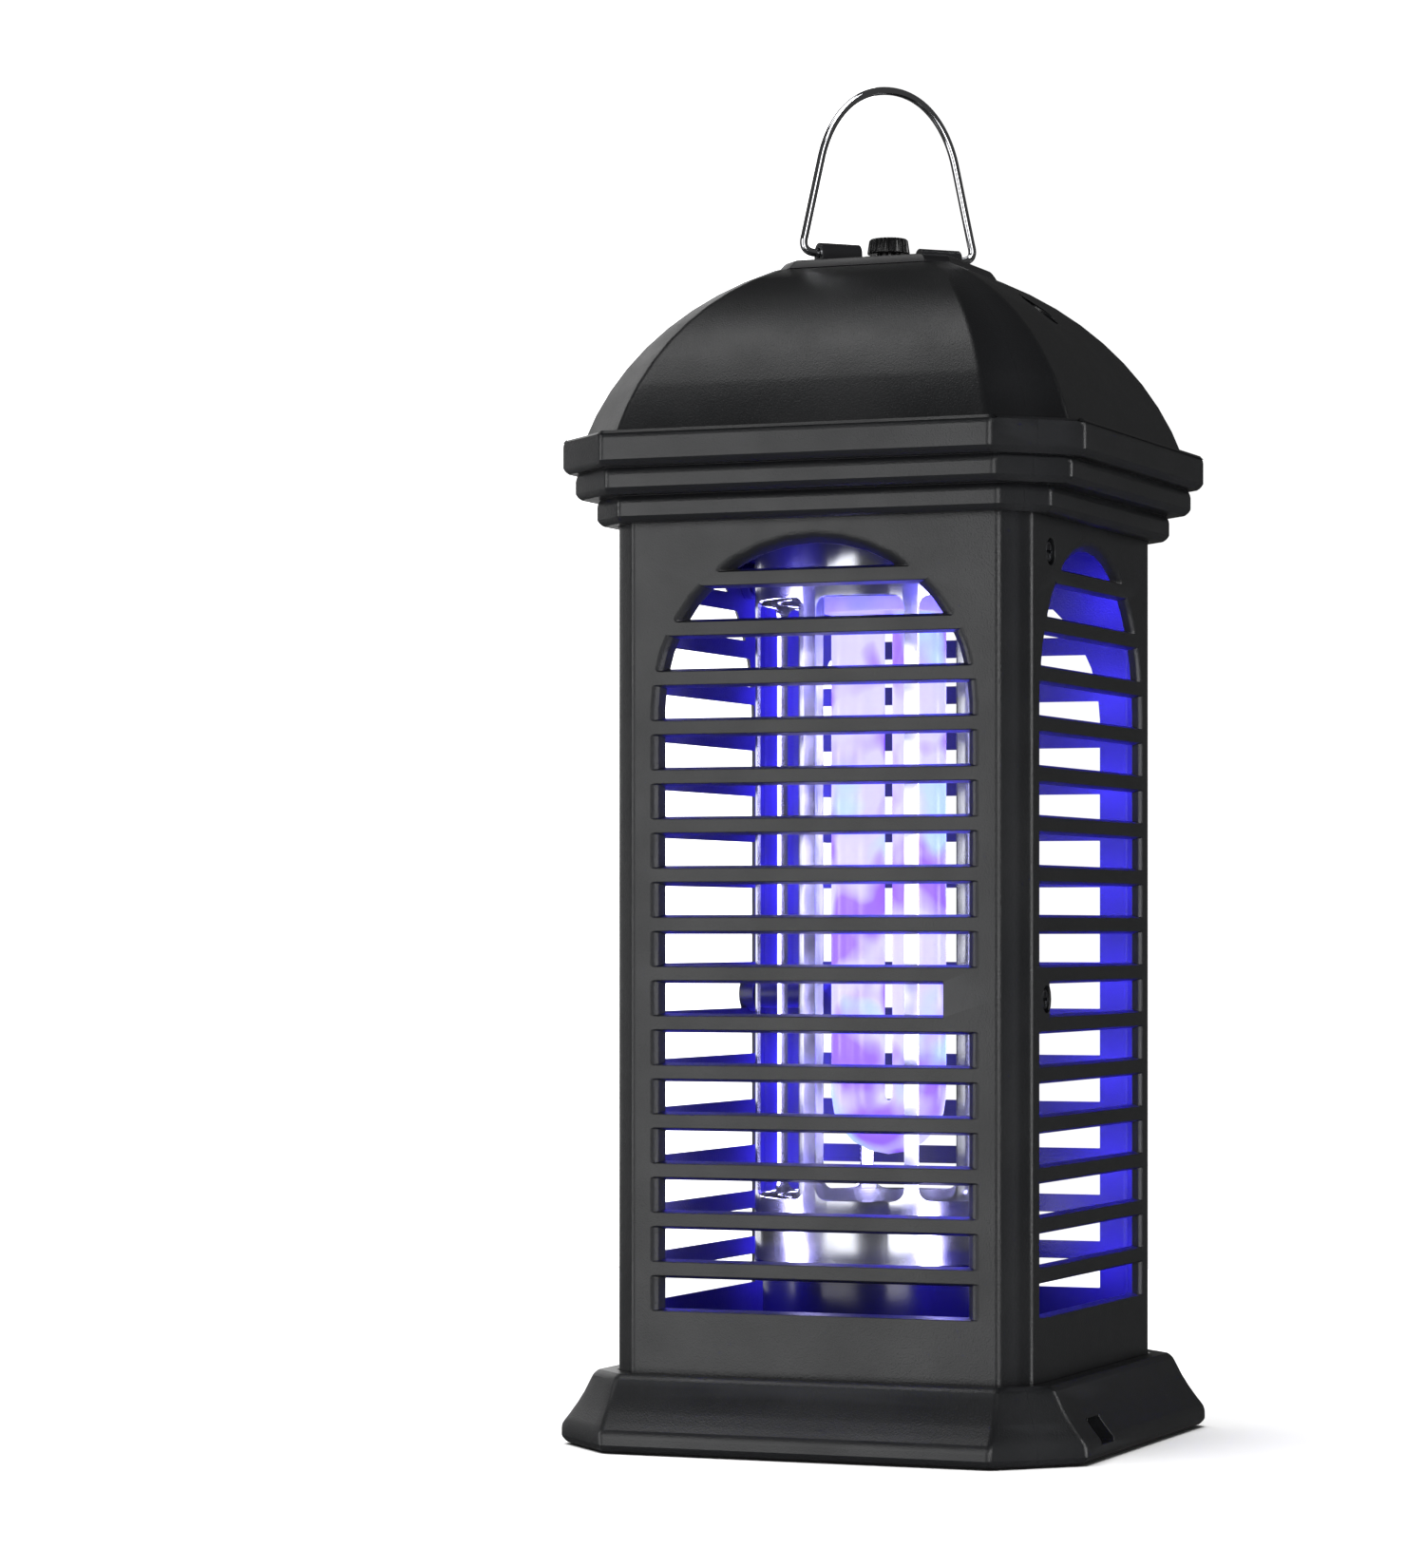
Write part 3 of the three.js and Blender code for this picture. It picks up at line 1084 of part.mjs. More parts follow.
function place(name, piece, material, parent = lantern) {
  const mesh = new THREE.Mesh(geometryOf(piece), material);
  mesh.name = name;
  parent.add(mesh);
  return mesh;
}

// Both halves of a moulding and the fasteners that belong to one of them, half a turn apart.
function placePair(nearName, farName, piece, material, nearPiece = piece) {
  const near = new THREE.Group();
  const far = new THREE.Group();
  far.rotation.z = HALF_TURN;
  lantern.add(near, far);
  place(nearName, nearPiece, material, near);
  place(farName, piece, material, far);
}

// Each half of the column is held as two flat panels that meet in its uncut corner.
const rightAndRear = columnHalf();
const rightPanel = rightAndRear.intersect(sideOf(-45));
const rearPanel = rightAndRear.intersect(sideOf(135));
placePair("right_louvre_panel", "left_louvre_panel", rightPanel, MATERIAL.housing);
placePair("rear_louvre_panel", "front_louvre_panel", rearPanel, MATERIAL.housing);
placePair("right_base_half", "left_base_half", baseHalf(), MATERIAL.housing);
const plainRoof = roofHalf();
const roofWithOutlet = without(plainRoof, ...grommetSeat());
placePair("right_roof_half", "left_roof_half", plainRoof, MATERIAL.housing, roofWithOutlet);
for (const { name, side, z } of SEAM_SCREWS)
  placePair(`right_column_${name}_screw`, `left_column_${name}_screw`, seamScrew(side, z), MATERIAL.screw);
placePair("right_base_seam_screw", "left_base_seam_screw", baseSeamScrew(), MATERIAL.screw);

place("top_cap", topCap(), MATERIAL.cap);
place("bail", bail(), MATERIAL.chrome);
place("switch_knob", switchKnob(), MATERIAL.knob);
place("switch_body", switchBody(), MATERIAL.blackPlastic);
place("right_roof_screw", roofScrew(1), MATERIAL.screw);
place("left_roof_screw", roofScrew(-1), MATERIAL.screw);
place("cord_grommet", cordGrommet(), MATERIAL.rubber);

place("upper_deck", upperDeck(), MATERIAL.blackPlastic);
place("upper_insulator", upperInsulator(), MATERIAL.insulator);
place("outer_electrode", outerElectrode(), MATERIAL.sheetMetal);
place("inner_electrode", innerElectrode(), MATERIAL.sheetMetal);
place("lower_insulator", lowerSpider(), MATERIAL.insulator);
place("insect_chute", chute(), MATERIAL.blackPlastic);
place("column_floor", columnFloor(), MATERIAL.blackPlastic);
place("lamp_holder", lampHolder(), MATERIAL.lampBase);
place("lamp_base", lampBase(), MATERIAL.lampBase);
place("lamp_tube", lampTube(), MATERIAL.glass);

place("circuit_board", circuitBoard(), MATERIAL.board);
place("ballast_choke", ballastChoke(), MATERIAL.winding);
place("smoothing_capacitor", smoothingCapacitor(), MATERIAL.component);
for (let i = 0; i < 3; i++)
  place(`multiplier_capacitor_${i + 1}`, multiplierCapacitor(i), MATERIAL.component);
place("lamp_starter", lampStarter(), MATERIAL.component);
for (const lead of LEADS) place(lead.name, electrodeLead(lead), MATERIAL.lead);
place("switch_lead", switchLead(), MATERIAL.lead);

place("base_plate", basePlate(), MATERIAL.blackPlastic);
place("insect_tray", insectTray(), MATERIAL.blackPlastic);
footPlaces().forEach(([x, y], i) => place(`foot_${i + 1}`, foot(x, y), MATERIAL.rubber));
plateScrewPlaces().forEach((at, i) => place(`base_plate_screw_${i + 1}`, plateScrew(at), MATERIAL.screw));

export default lantern;
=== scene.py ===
"""Blender looks for the lantern-shaped electric insect zapper.

Every length is in metres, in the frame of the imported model: +Z up, the front louvre faces -Y,
the right louvre faces +X, and the feet stand on z = 0.
"""

import logging
import math
from dataclasses import dataclass, field
from enum import Enum

import bmesh
import bpy
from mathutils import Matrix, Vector


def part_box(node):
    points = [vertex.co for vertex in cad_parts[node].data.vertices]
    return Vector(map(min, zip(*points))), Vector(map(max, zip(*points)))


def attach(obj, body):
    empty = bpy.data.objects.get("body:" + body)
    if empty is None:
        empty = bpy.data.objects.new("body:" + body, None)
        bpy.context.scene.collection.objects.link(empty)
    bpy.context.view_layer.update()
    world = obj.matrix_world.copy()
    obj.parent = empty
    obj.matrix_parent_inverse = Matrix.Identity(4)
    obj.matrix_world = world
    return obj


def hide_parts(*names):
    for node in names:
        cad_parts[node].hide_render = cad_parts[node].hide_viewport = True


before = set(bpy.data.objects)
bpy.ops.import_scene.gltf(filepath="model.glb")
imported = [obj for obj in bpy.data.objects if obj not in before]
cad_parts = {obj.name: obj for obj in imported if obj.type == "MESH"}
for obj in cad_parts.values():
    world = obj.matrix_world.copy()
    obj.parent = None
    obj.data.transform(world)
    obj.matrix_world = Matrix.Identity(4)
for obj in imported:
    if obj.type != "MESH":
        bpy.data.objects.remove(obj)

LOG = logging.getLogger("lantern")
MM = 0.001
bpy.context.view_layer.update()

# Sockets of a Mix node that is set to colours.
MIX_FACTOR, MIX_A, MIX_B, MIX_RESULT = 0, 6, 7, 2
# Nearly all values of a noise texture lie between these.
CLOUD_LOW, CLOUD_HIGH = 0.3, 0.7
# Pointiness at which an outward edge begins to look worn, and at which it looks fully worn.
WEAR_BEGINS, WEAR_FULL = 0.52, 0.6
# The least roughness that an uneven gloss reaches.
SMOOTHEST = 0.02

# Mesh limits: vertices closer than WELD are one, and CUT_REACH is a cutting plane's thickness.
WELD, CUT_REACH = 2e-6, 1e-6
# Degrees: faces within FLAT_ANGLE lie in one plane, and a corner of SQUARE_TURN or more is square.
FLAT_ANGLE, SQUARE_TURN = 0.7, 60.0
# Edges flatter than this many degrees are shaded smooth on round tubes.
TUBE_ANGLE = 60.0
# How strongly large faces pull the shading of their edges.
FACE_WEIGHT = 60
# The gap between the shell's mouldings, and how far from its middle its sides are looked for.
SHELL_GAP_MM = 0.3
GAP_REACH = 0.6


# ------------------------------------------------------------------------ colour and nodes
def linear(hex_colour: str) -> tuple[float, float, float, float]:
    """Turns an sRGB hex colour to linear.

    Args:
        hex_colour: six hex digits, such as "3a3b3e".

    Returns:
        Linear red, green and blue, and an alpha of one.
    """
    channels = [int(hex_colour[i:i + 2], 16) / 255 for i in (0, 2, 4)]
    curve = [c / 12.92 if c <= 0.04045 else ((c + 0.055) / 1.055) ** 2.4 for c in channels]
    return (curve[0], curve[1], curve[2], 1.0)


def add_node(tree: bpy.types.NodeTree, kind: str, settings: dict | None = None,
             values: dict | None = None, links: dict | None = None) -> bpy.types.Node:
    """Adds one node with its settings, socket values and incoming links.

    Args:
        tree: the node tree.
        kind: the node's type name.
        settings: attributes of the node.
        values: default values by input name or number.
        links: output sockets by input name or number.

    Returns:
        The new node.
    """
    node = tree.nodes.new(kind)
    for name, value in (settings or {}).items():
        setattr(node, name, value)
    for key, value in (values or {}).items():
        node.inputs[key].default_value = value
    for key, socket in (links or {}).items():
        tree.links.new(socket, node.inputs[key])
    return node


@dataclass(frozen=True)
class Finish:
    """A real material and how its surface was made.

    Grain sizes are real millimetres. A grain finer than the render can show is drawn coarser, which
    each use says.
    """

    name: str
    colour: str
    roughness: float
    metallic: float = 0.0
    ior: float = 1.5
    grain_mm: float = 0.0
    grain_height_mm: float = 0.0
    grain_stretch: tuple[float, float, float] = (1.0, 1.0, 1.0)
    mottle: float = 0.0
    mottle_mm: float = 20.0
    gloss_spread: float = 0.0
    smear_mm: float = 12.0
    worn_colour: str = ""
    worn_amount: float = 0.0

    def build(self) -> bpy.types.Material:
        """Makes the node material.

        Returns:
            The material, with the finish's name.
        """
        material = bpy.data.materials.new(self.name)
        material.use_nodes = True
        tree = material.node_tree
        tree.nodes.clear()
        shader = add_node(tree, "ShaderNodeBsdfPrincipled", values={
            "Base Color": linear(self.colour),
            "Roughness": self.roughness,
            "Metallic": self.metallic,
        })
        if not self.metallic:
            shader.inputs["IOR"].default_value = self.ior
        add_node(tree, "ShaderNodeOutputMaterial", links={"Surface": shader.outputs["BSDF"]})
        place = add_node(tree, "ShaderNodeTexCoord").outputs["Object"]
        self._colour(tree, shader, place)
        self._gloss(tree, shader, place)
        self._grain(tree, shader, place)
        return material

    def _colour(self, tree: bpy.types.NodeTree, shader: bpy.types.Node,
                place: bpy.types.NodeSocket) -> None:
        """Varies the colour softly, and shows the worn colour along outward edges.

        Args:
            tree: the node tree.
            shader: the surface's shader.
            place: the position to measure along.
        """
        if not self.mottle and not self.worn_amount:
            return
        cloud = add_node(tree, "ShaderNodeTexNoise",
                         values={"Scale": 1 / (self.mottle_mm * MM), "Detail": 4.0},
                         links={"Vector": place})
        base = linear(self.colour)
        low = tuple(c * (1 - self.mottle) for c in base[:3]) + (1.0,)
        high = tuple(min(c * (1 + self.mottle), 1.0) for c in base[:3]) + (1.0,)
        mixed = add_node(tree, "ShaderNodeMix", {"data_type": "RGBA"}, {MIX_A: low, MIX_B: high},
                         {MIX_FACTOR: cloud.outputs["Fac"]}).outputs[MIX_RESULT]
        if self.worn_amount:
            edge = add_node(tree, "ShaderNodeNewGeometry").outputs["Pointiness"]
            mask = add_node(tree, "ShaderNodeMapRange",
                            values={"From Min": WEAR_BEGINS, "From Max": WEAR_FULL,
                                    "To Max": self.worn_amount},
                            links={"Value": edge})
            mixed = add_node(tree, "ShaderNodeMix", {"data_type": "RGBA"},
                             {MIX_B: linear(self.worn_colour)},
                             {MIX_FACTOR: mask.outputs["Result"],
                              MIX_A: mixed}).outputs[MIX_RESULT]
        tree.links.new(mixed, shader.inputs["Base Color"])

    def _gloss(self, tree: bpy.types.NodeTree, shader: bpy.types.Node,
               place: bpy.types.NodeSocket) -> None:
        """Makes the roughness uneven, as handling and moulding leave it.

        Args:
            tree: the node tree.
            shader: the surface's shader.
            place: the position to measure along.
        """
        if not self.gloss_spread:
            return
        cloud = add_node(tree, "ShaderNodeTexNoise",
                         values={"Scale": 1 / (self.smear_mm * MM), "Detail": 5.0},
                         links={"Vector": place})
        spread = add_node(tree, "ShaderNodeMapRange",
                          values={"From Min": CLOUD_LOW, "From Max": CLOUD_HIGH,
                                  "To Min": max(self.roughness - self.gloss_spread, SMOOTHEST),
                                  "To Max": min(self.roughness + self.gloss_spread, 1.0)},
                          links={"Value": cloud.outputs["Fac"]})
        tree.links.new(spread.outputs["Result"], shader.inputs["Roughness"])

    def _grain(self, tree: bpy.types.NodeTree, shader: bpy.types.Node,
               place: bpy.types.NodeSocket) -> None:
        """Raises the surface's grain.

        Args:
            tree: the node tree.
            shader: the surface's shader.
            place: the position to measure along.
        """
        if not self.grain_mm:
            return
        stretched = add_node(tree, "ShaderNodeMapping", values={"Scale": self.grain_stretch},
                             links={"Vector": place})
        noise = add_node(tree, "ShaderNodeTexNoise",
                         values={"Scale": 1 / (self.grain_mm * MM), "Detail": 2.0,
                                 "Roughness": 0.6},
                         links={"Vector": stretched.outputs["Vector"]})
        bump = add_node(tree, "ShaderNodeBump",
                        values={"Strength": 1.0, "Distance": self.grain_height_mm * MM},
                        links={"Height": noise.outputs["Fac"]})
        tree.links.new(bump.outputs["Normal"], shader.inputs["Normal"])


# Moulded ABS with a fine spark-eroded grain: near-black grey, whose grain spreads each highlight
# into a soft band. The real grain is about 0.1 mm; it is drawn at 0.45 mm so that it shows.
HOUSING_ABS = Finish("spark_eroded_abs", "18191b", 0.33, ior=1.53, grain_mm=0.45,
                     grain_height_mm=0.07, mottle=0.08, mottle_mm=14, gloss_spread=0.05,
                     smear_mm=18, worn_colour="3c3d40", worn_amount=0.3)
# The same ABS from a smoother cavity: darker, with tighter highlights.
CAP_ABS = Finish("satin_abs", "1d1d1f", 0.32, ior=1.53, grain_mm=0.5, grain_height_mm=0.015,
                 mottle=0.08, mottle_mm=9, gloss_spread=0.06, worn_colour="4b4c50", worn_amount=0.4)
# Polished acetal: near black with crisp highlights on the ribs.
KNOB_ACETAL = Finish("polished_acetal", "121213", 0.22, ior=1.48, grain_mm=0.6,
                     grain_height_mm=0.006, mottle=0.1, mottle_mm=4, gloss_spread=0.05)
# Black ABS of the chute, deck, plate and tray: glossy, so it mirrors the lamp in soft streaks.
GLOSSY_ABS = Finish("glossy_abs", "17171a", 0.2, ior=1.53, grain_mm=1.2, grain_height_mm=0.01,
                    mottle=0.1, mottle_mm=12, gloss_spread=0.07)
# Glass-filled nylon of the insulators: dull, greyer, slightly streaked by the fibres.
INSULATOR_NYLON = Finish("glass_filled_nylon", "3c3c46", 0.5, ior=1.53, grain_mm=0.7,
                         grain_height_mm=0.03, grain_stretch=(1, 1, 0.3), mottle=0.12, mottle_mm=6,
                         gloss_spread=0.08)
# Bright chromium plate on drawn wire: mirror-like, with a trace of the drawing lines.
CHROMED_WIRE = Finish("chromed_wire", "dcdde0", 0.07, metallic=1.0, grain_mm=0.35,
                      grain_height_mm=0.0002, gloss_spread=0.03, smear_mm=5)
# Rolled stainless sheet: bright, with faint vertical rolling lines that smear its reflections.
ROLLED_STAINLESS = Finish("rolled_stainless", "c9cbd4", 0.2, metallic=1.0, grain_mm=0.4,
                          grain_height_mm=0.0025, grain_stretch=(1, 1, 0.04), gloss_spread=0.06)
# Black-oxidised steel of the screws: dark, with worn bright edges.
BLACKENED_STEEL = Finish("blackened_steel", "3b3c40", 0.36, metallic=1.0, grain_mm=0.3,
                         grain_height_mm=0.004, mottle=0.15, mottle_mm=2, gloss_spread=0.08,
                         worn_colour="9a9ba0", worn_amount=0.6)
# Moulded nitrile rubber: matt and dusty black.
NITRILE_RUBBER = Finish("nitrile_rubber", "1f1f20", 0.8, ior=1.52, grain_mm=0.5,
                        grain_height_mm=0.05, mottle=0.15, mottle_mm=5, gloss_spread=0.06)
# White thermoset of the lamp's base and holder: clean, faintly cloudy, semi-gloss.
LAMP_THERMOSET = Finish("white_thermoset", "dedee2", 0.35, ior=1.55, grain_mm=0.8,
                        grain_height_mm=0.01, mottle=0.03, mottle_mm=8, gloss_spread=0.05)
# Epoxy laminate under green lacquer: glossy, with the glass weave showing faintly.
BOARD_LAMINATE = Finish("lacquered_laminate", "1f5a30", 0.3, ior=1.55, grain_mm=1.0,
                        grain_height_mm=0.01, mottle=0.12, mottle_mm=3, gloss_spread=0.06)
# Polyester tape over the choke's winding: amber and slightly wrinkled.
WINDING_TAPE = Finish("polyester_tape", "8a5a24", 0.38, ior=1.58, grain_mm=1.5,
                      grain_height_mm=0.06, grain_stretch=(1, 1, 4), mottle=0.15, mottle_mm=5)
# Shrink sleeve on the capacitors: dark blue with long soft highlights.
SHRINK_SLEEVE = Finish("shrink_sleeve", "1c2338", 0.28, ior=1.5, grain_mm=1.2, grain_height_mm=0.02,
                       mottle=0.1, mottle_mm=6, gloss_spread=0.05)
# Silicone insulation of the leads: soft red, slightly dusty.
SILICONE_LEAD = Finish("silicone_insulation", "a01c1c", 0.55, ior=1.43, grain_mm=0.6,
                       grain_height_mm=0.01, mottle=0.1, mottle_mm=3, gloss_spread=0.05)


@dataclass(frozen=True)
class LampPhosphor:
    """Fluorescent lamp glass, coated inside with phosphor and lit.

    The glow is white with soft clouds of violet and cyan, which are a few centimetres long.
    """

    name: str = "lit_phosphor_glass"
    core: str = "d4d2ff"
    violet: str = "8a52f2"
    cyan: str = "b4dcff"
    strength: float = 0.9
    cloud_mm: float = 16.0
    cloud_edge: float = 0.12
    violet_from: float = 0.47
    cyan_from: float = 0.56
    cyan_offset: tuple[float, float, float] = (0.31, 0.17, 0.23)
    glass: str = "7c78a8"
    roughness: float = 0.12
    ior: float = 1.5

    def build(self) -> bpy.types.Material:
        """Makes the node material.

        Returns:
            The material, with the finish's name.
        """
        material = bpy.data.materials.new(self.name)
        material.use_nodes = True
        tree = material.node_tree
        tree.nodes.clear()
        place = add_node(tree, "ShaderNodeTexCoord").outputs["Object"]
        tinted = self._cloud(tree, place, (0.0, 0.0, 0.0), self.violet_from, linear(self.core),
                             linear(self.violet))
        glow = self._cloud(tree, place, self.cyan_offset, self.cyan_from, tinted,
                           linear(self.cyan))
        shader = add_node(tree, "ShaderNodeBsdfPrincipled",
                          values={"Base Color": linear(self.glass), "Roughness": self.roughness,
                                  "IOR": self.ior, "Emission Strength": self.strength},
                          links={"Emission Color": glow})
        add_node(tree, "ShaderNodeOutputMaterial", links={"Surface": shader.outputs["BSDF"]})
        return material

    def _cloud(self, tree: bpy.types.NodeTree, place: bpy.types.NodeSocket,
               offset: tuple[float, float, float], start: float,
               under: bpy.types.NodeSocket | tuple[float, float, float, float],
               over: tuple[float, float, float, float]) -> bpy.types.NodeSocket:
        """Lays clouds of one colour over another.

        Args:
            tree: the node tree.
            place: the position to measure along.
            offset: how far the clouds are shifted, in metres.
            start: the noise value at which the upper colour begins.
            under: the lower colour, or the socket that gives it.
            over: the upper colour.

        Returns:
            The socket of the mixed colour.
        """
        shifted = add_node(tree, "ShaderNodeMapping", values={"Location": offset},
                           links={"Vector": place})
        noise = add_node(tree, "ShaderNodeTexNoise",
                         values={"Scale": 1 / (self.cloud_mm * MM), "Detail": 1.5},
                         links={"Vector": shifted.outputs["Vector"]})
        mask = add_node(tree, "ShaderNodeMapRange",
                        values={"From Min": start, "From Max": start + self.cloud_edge},
                        links={"Value": noise.outputs["Fac"]})
        mix = add_node(tree, "ShaderNodeMix", {"data_type": "RGBA"}, {MIX_B: over},
                       {MIX_FACTOR: mask.outputs["Result"]})
        if isinstance(under, tuple):
            mix.inputs[MIX_A].default_value = under
        else:
            tree.links.new(under, mix.inputs[MIX_A])
        return mix.outputs[MIX_RESULT]


_BUILT: dict[str, bpy.types.Material] = {}


def material_of(finish: Finish | LampPhosphor) -> bpy.types.Material:
    """Gives a finish's material, made once.

    Args:
        finish: the finish.

    Returns:
        Its material.
    """
    if finish.name not in _BUILT:
        _BUILT[finish.name] = finish.build()
    return _BUILT[finish.name]


# ------------------------------------------------------------------------ mesh helpers
def apply_modifiers(obj: bpy.types.Object) -> None:
    """Puts the result of an object's modifiers into its mesh.

    Args:
        obj: a linked mesh object.
    """
    evaluated = obj.evaluated_get(bpy.context.evaluated_depsgraph_get())
    mesh = bpy.data.meshes.new_from_object(evaluated)
    obj.modifiers.clear()
    obj.data = mesh


def on_seam(edge: bmesh.types.BMEdge, reach_mm: float = 0.1) -> bool:
    """Says whether an edge lies in the seam between the halves of the shell."""
    return all(abs(vert.co.x + vert.co.y) < reach_mm * MM for vert in edge.verts)


def weigh_edges(bm: bmesh.types.BMesh, small: float, angle: float, long_mm: float) -> None:
    """Marks how much each sharp edge is rounded: fully where a mould's outer corner is broken.

    Args:
        bm: the mesh.
        small: the weight of the other sharp edges.
        angle: edges flatter than this many degrees aren't rounded.
        long_mm: square convex edges longer than this are rounded fully too.
    """
    layer = bm.edges.layers.float.new("bevel_weight_edge")
    for edge in bm.edges:
        if len(edge.link_faces) != 2:
            continue
        turn = math.degrees(edge.calc_face_angle(0.0))
        if turn < angle or on_seam(edge):
            continue
        broken = edge.is_convex and (turn < SQUARE_TURN or edge.calc_length() > long_mm * MM)
        edge[layer] = 1.0 if broken else small


def finish_edges(obj: bpy.types.Object, width_mm: float, segments: int = 2,
                 clamp: bool = True) -> None:
    """Rounds an object's weighted edges and shades it smoothly, with the modifiers applied.

    Args:
        obj: a linked mesh object.
        width_mm: the width of the rounding at full weight; none if zero.
        segments: facets across the rounding.
        clamp: whether the narrowest face limits the width everywhere.
    """
    if width_mm:
        bevel = obj.modifiers.new("edge_round", "BEVEL")
        bevel.width = width_mm * MM
        bevel.segments = segments
        bevel.limit_method = "WEIGHT"
        bevel.miter_outer = "MITER_ARC"
        bevel.use_clamp_overlap = clamp
        bevel.harden_normals = False
    weighted = obj.modifiers.new("face_weight", "WEIGHTED_NORMAL")
    weighted.keep_sharp = True
    weighted.weight = FACE_WEIGHT
    for polygon in obj.data.polygons:
        polygon.use_smooth = True
    apply_modifiers(obj)


Cut = tuple[tuple[float, float, float], tuple[float, float, float]]


def level_cuts(levels_mm: tuple[float, ...], axis: int = 2) -> tuple[Cut, ...]:
    """Gives cutting planes square to one axis.

    Args:
        levels_mm: where they lie along it, in millimetres.
        axis: 0, 1 or 2 for X, Y or Z.

    Returns:
        The planes, each as a point and a normal.
    """
    unit = tuple(1.0 if i == axis else 0.0 for i in range(3))
    return tuple((tuple(level * MM * u for u in unit), unit) for level in levels_mm)


def merge_flats(bm: bmesh.types.BMesh, cuts: tuple[Cut, ...]) -> None:
    """Merges coplanar triangles. The cuts pass through holes, so that no merged face has one.

    Args:
        bm: the welded mesh.
        cuts: planes through the middle of each hole.
    """
    for point, normal in cuts:
        found = bmesh.ops.bisect_plane(bm, geom=bm.verts[:] + bm.edges[:] + bm.faces[:],
                                       dist=CUT_REACH, plane_co=point, plane_no=normal)
        for item in found["geom_cut"]:
            if isinstance(item, bmesh.types.BMEdge):
                item.seam = True
    bmesh.ops.dissolve_limit(bm, angle_limit=math.radians(FLAT_ANGLE), verts=bm.verts,
                             edges=bm.edges, use_dissolve_boundaries=False, delimit={"SEAM"})


def close_corner(bm: bmesh.types.BMesh, weld_mm: float = 0.1) -> None:
    """Joins two louvre panels into one moulding where they meet in the plane x = y.

    Args:
        bm: the mesh that holds both panels.
        weld_mm: vertices closer than this become one.
    """
    reach = GAP_REACH * SHELL_GAP_MM * MM
    meeting = []
    for vert in bm.verts:
        off = (vert.co.x - vert.co.y) / math.sqrt(2)
        if abs(off) < reach:
            vert.co.x -= off / math.sqrt(2)
            vert.co.y += off / math.sqrt(2)
            meeting.append(vert)
    among = set(meeting)
    inner = [face for face in bm.faces if among.issuperset(face.verts)]
    bmesh.ops.delete(bm, geom=inner, context="FACES_ONLY")
    bmesh.ops.remove_doubles(bm, verts=meeting, dist=weld_mm * MM)


def narrow_seam(bm: bmesh.types.BMesh, light_tight: bool, left_mm: float = 0.04,
                lap_mm: float = 0.02, rim_mm: float = 0.5) -> None:
    """Draws a half of the shell up to its seam in the plane x = -y, so that it shows as a hairline.

    Args:
        bm: the mesh.
        light_tight: whether the halves meet along their inner side, so that no light gets through.
        left_mm: what is left of the gap between them.
        lap_mm: how far they lap over each other where they meet.
        rim_mm: how far from the outermost vertices the outer side reaches.
    """
    near = {vert: (vert.co.x + vert.co.y) / math.sqrt(2) for vert in bm.verts
            if abs(vert.co.x + vert.co.y) / math.sqrt(2) < GAP_REACH * SHELL_GAP_MM * MM}
    rim = max(vert.co.xy.length for vert in near) - rim_mm * MM
    for vert, off in near.items():
        meets = light_tight and vert.co.xy.length < rim
        half = (-lap_mm if meets else left_mm) / 2 * MM
        shift = math.copysign(1.0, off) * half - off
        vert.co.x += shift / math.sqrt(2)
        vert.co.y += shift / math.sqrt(2)


def refined(node: str, name: str, finish: Finish | LampPhosphor, body: str, slot: str,
            round_mm: float = 0.3, segments: int = 2, smooth_angle: float = 38.0,
            cuts: tuple[Cut, ...] = (), joined_to: tuple[str, ...] = (), broken_mm: float = 0.0,
            long_mm: float = 10.0) -> bpy.types.Object:
    """Makes the finished piece for a CAD node: welded, with flat faces merged and edges rounded.

    Args:
        node: the CAD node.
        name: the new piece's name.
        finish: its finish.
        body: the body it rides on.
        slot: the record's material slot.
        round_mm: the width of the rounding on its sharp edges.
        segments: facets across the rounding.
        smooth_angle: edges flatter than this many degrees are shaded smooth.
        cuts: planes through the holes of its flat faces, besides its three middle planes.
        joined_to: CAD nodes that are one moulding with it, met in a corner.
        broken_mm: the width of the rounding on outer corners, if it is larger.
        long_mm: the length from which a square outer edge counts as one.

    Returns:
        The new object.
    """
    mesh = bpy.data.meshes.new(name)
    obj = bpy.data.objects.new(name, mesh)
    bpy.context.scene.collection.objects.link(obj)
    nodes = (node,) + joined_to
    low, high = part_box(node)
    middle = (low + high) / 2
    bm = bmesh.new()
    for source in nodes:
        bm.from_mesh(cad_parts[source].data)
    bmesh.ops.remove_doubles(bm, verts=bm.verts, dist=WELD)
    if joined_to:
        close_corner(bm)
    if broken_mm:
        narrow_seam(bm, light_tight=bool(joined_to))
    if round_mm:
        own = tuple((tuple(middle), axis) for axis in ((1, 0, 0), (0, 1, 0), (0, 0, 1)))
        merge_flats(bm, own + cuts)
    width = max(round_mm, broken_mm)
    if width:
        weigh_edges(bm, round_mm / width, smooth_angle, long_mm)
    for edge in bm.edges:
        if len(edge.link_faces) == 2:
            edge.smooth = edge.calc_face_angle(0.0) < math.radians(smooth_angle)
    bm.to_mesh(mesh)
    bm.free()
    for polygon in mesh.polygons:
        polygon.material_index = 0
    mesh.materials.append(material_of(finish))
    finish_edges(obj, width, segments, clamp=not broken_mm)
    adopt(obj, body, slot, *nodes)
    return obj


def adopt(obj: bpy.types.Object, body: str, slot: str, *nodes: str) -> None:
    """Ties a piece to its body and hides the CAD nodes it stands for.

    Args:
        obj: the piece.
        body: the body it rides on.
        slot: the record's material slot; not used.
        nodes: the CAD nodes.
    """
    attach(obj, body)
    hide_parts(*nodes)
    LOG.info("piece %s on %s: %d faces", obj.name, body, len(obj.data.polygons))


class Body(Enum):
    """The bodies that pieces ride on."""

    HOUSING = "housing"
    BAIL = "bail"
    KNOB = "switch_knob"
    TRAY = "insect_tray"


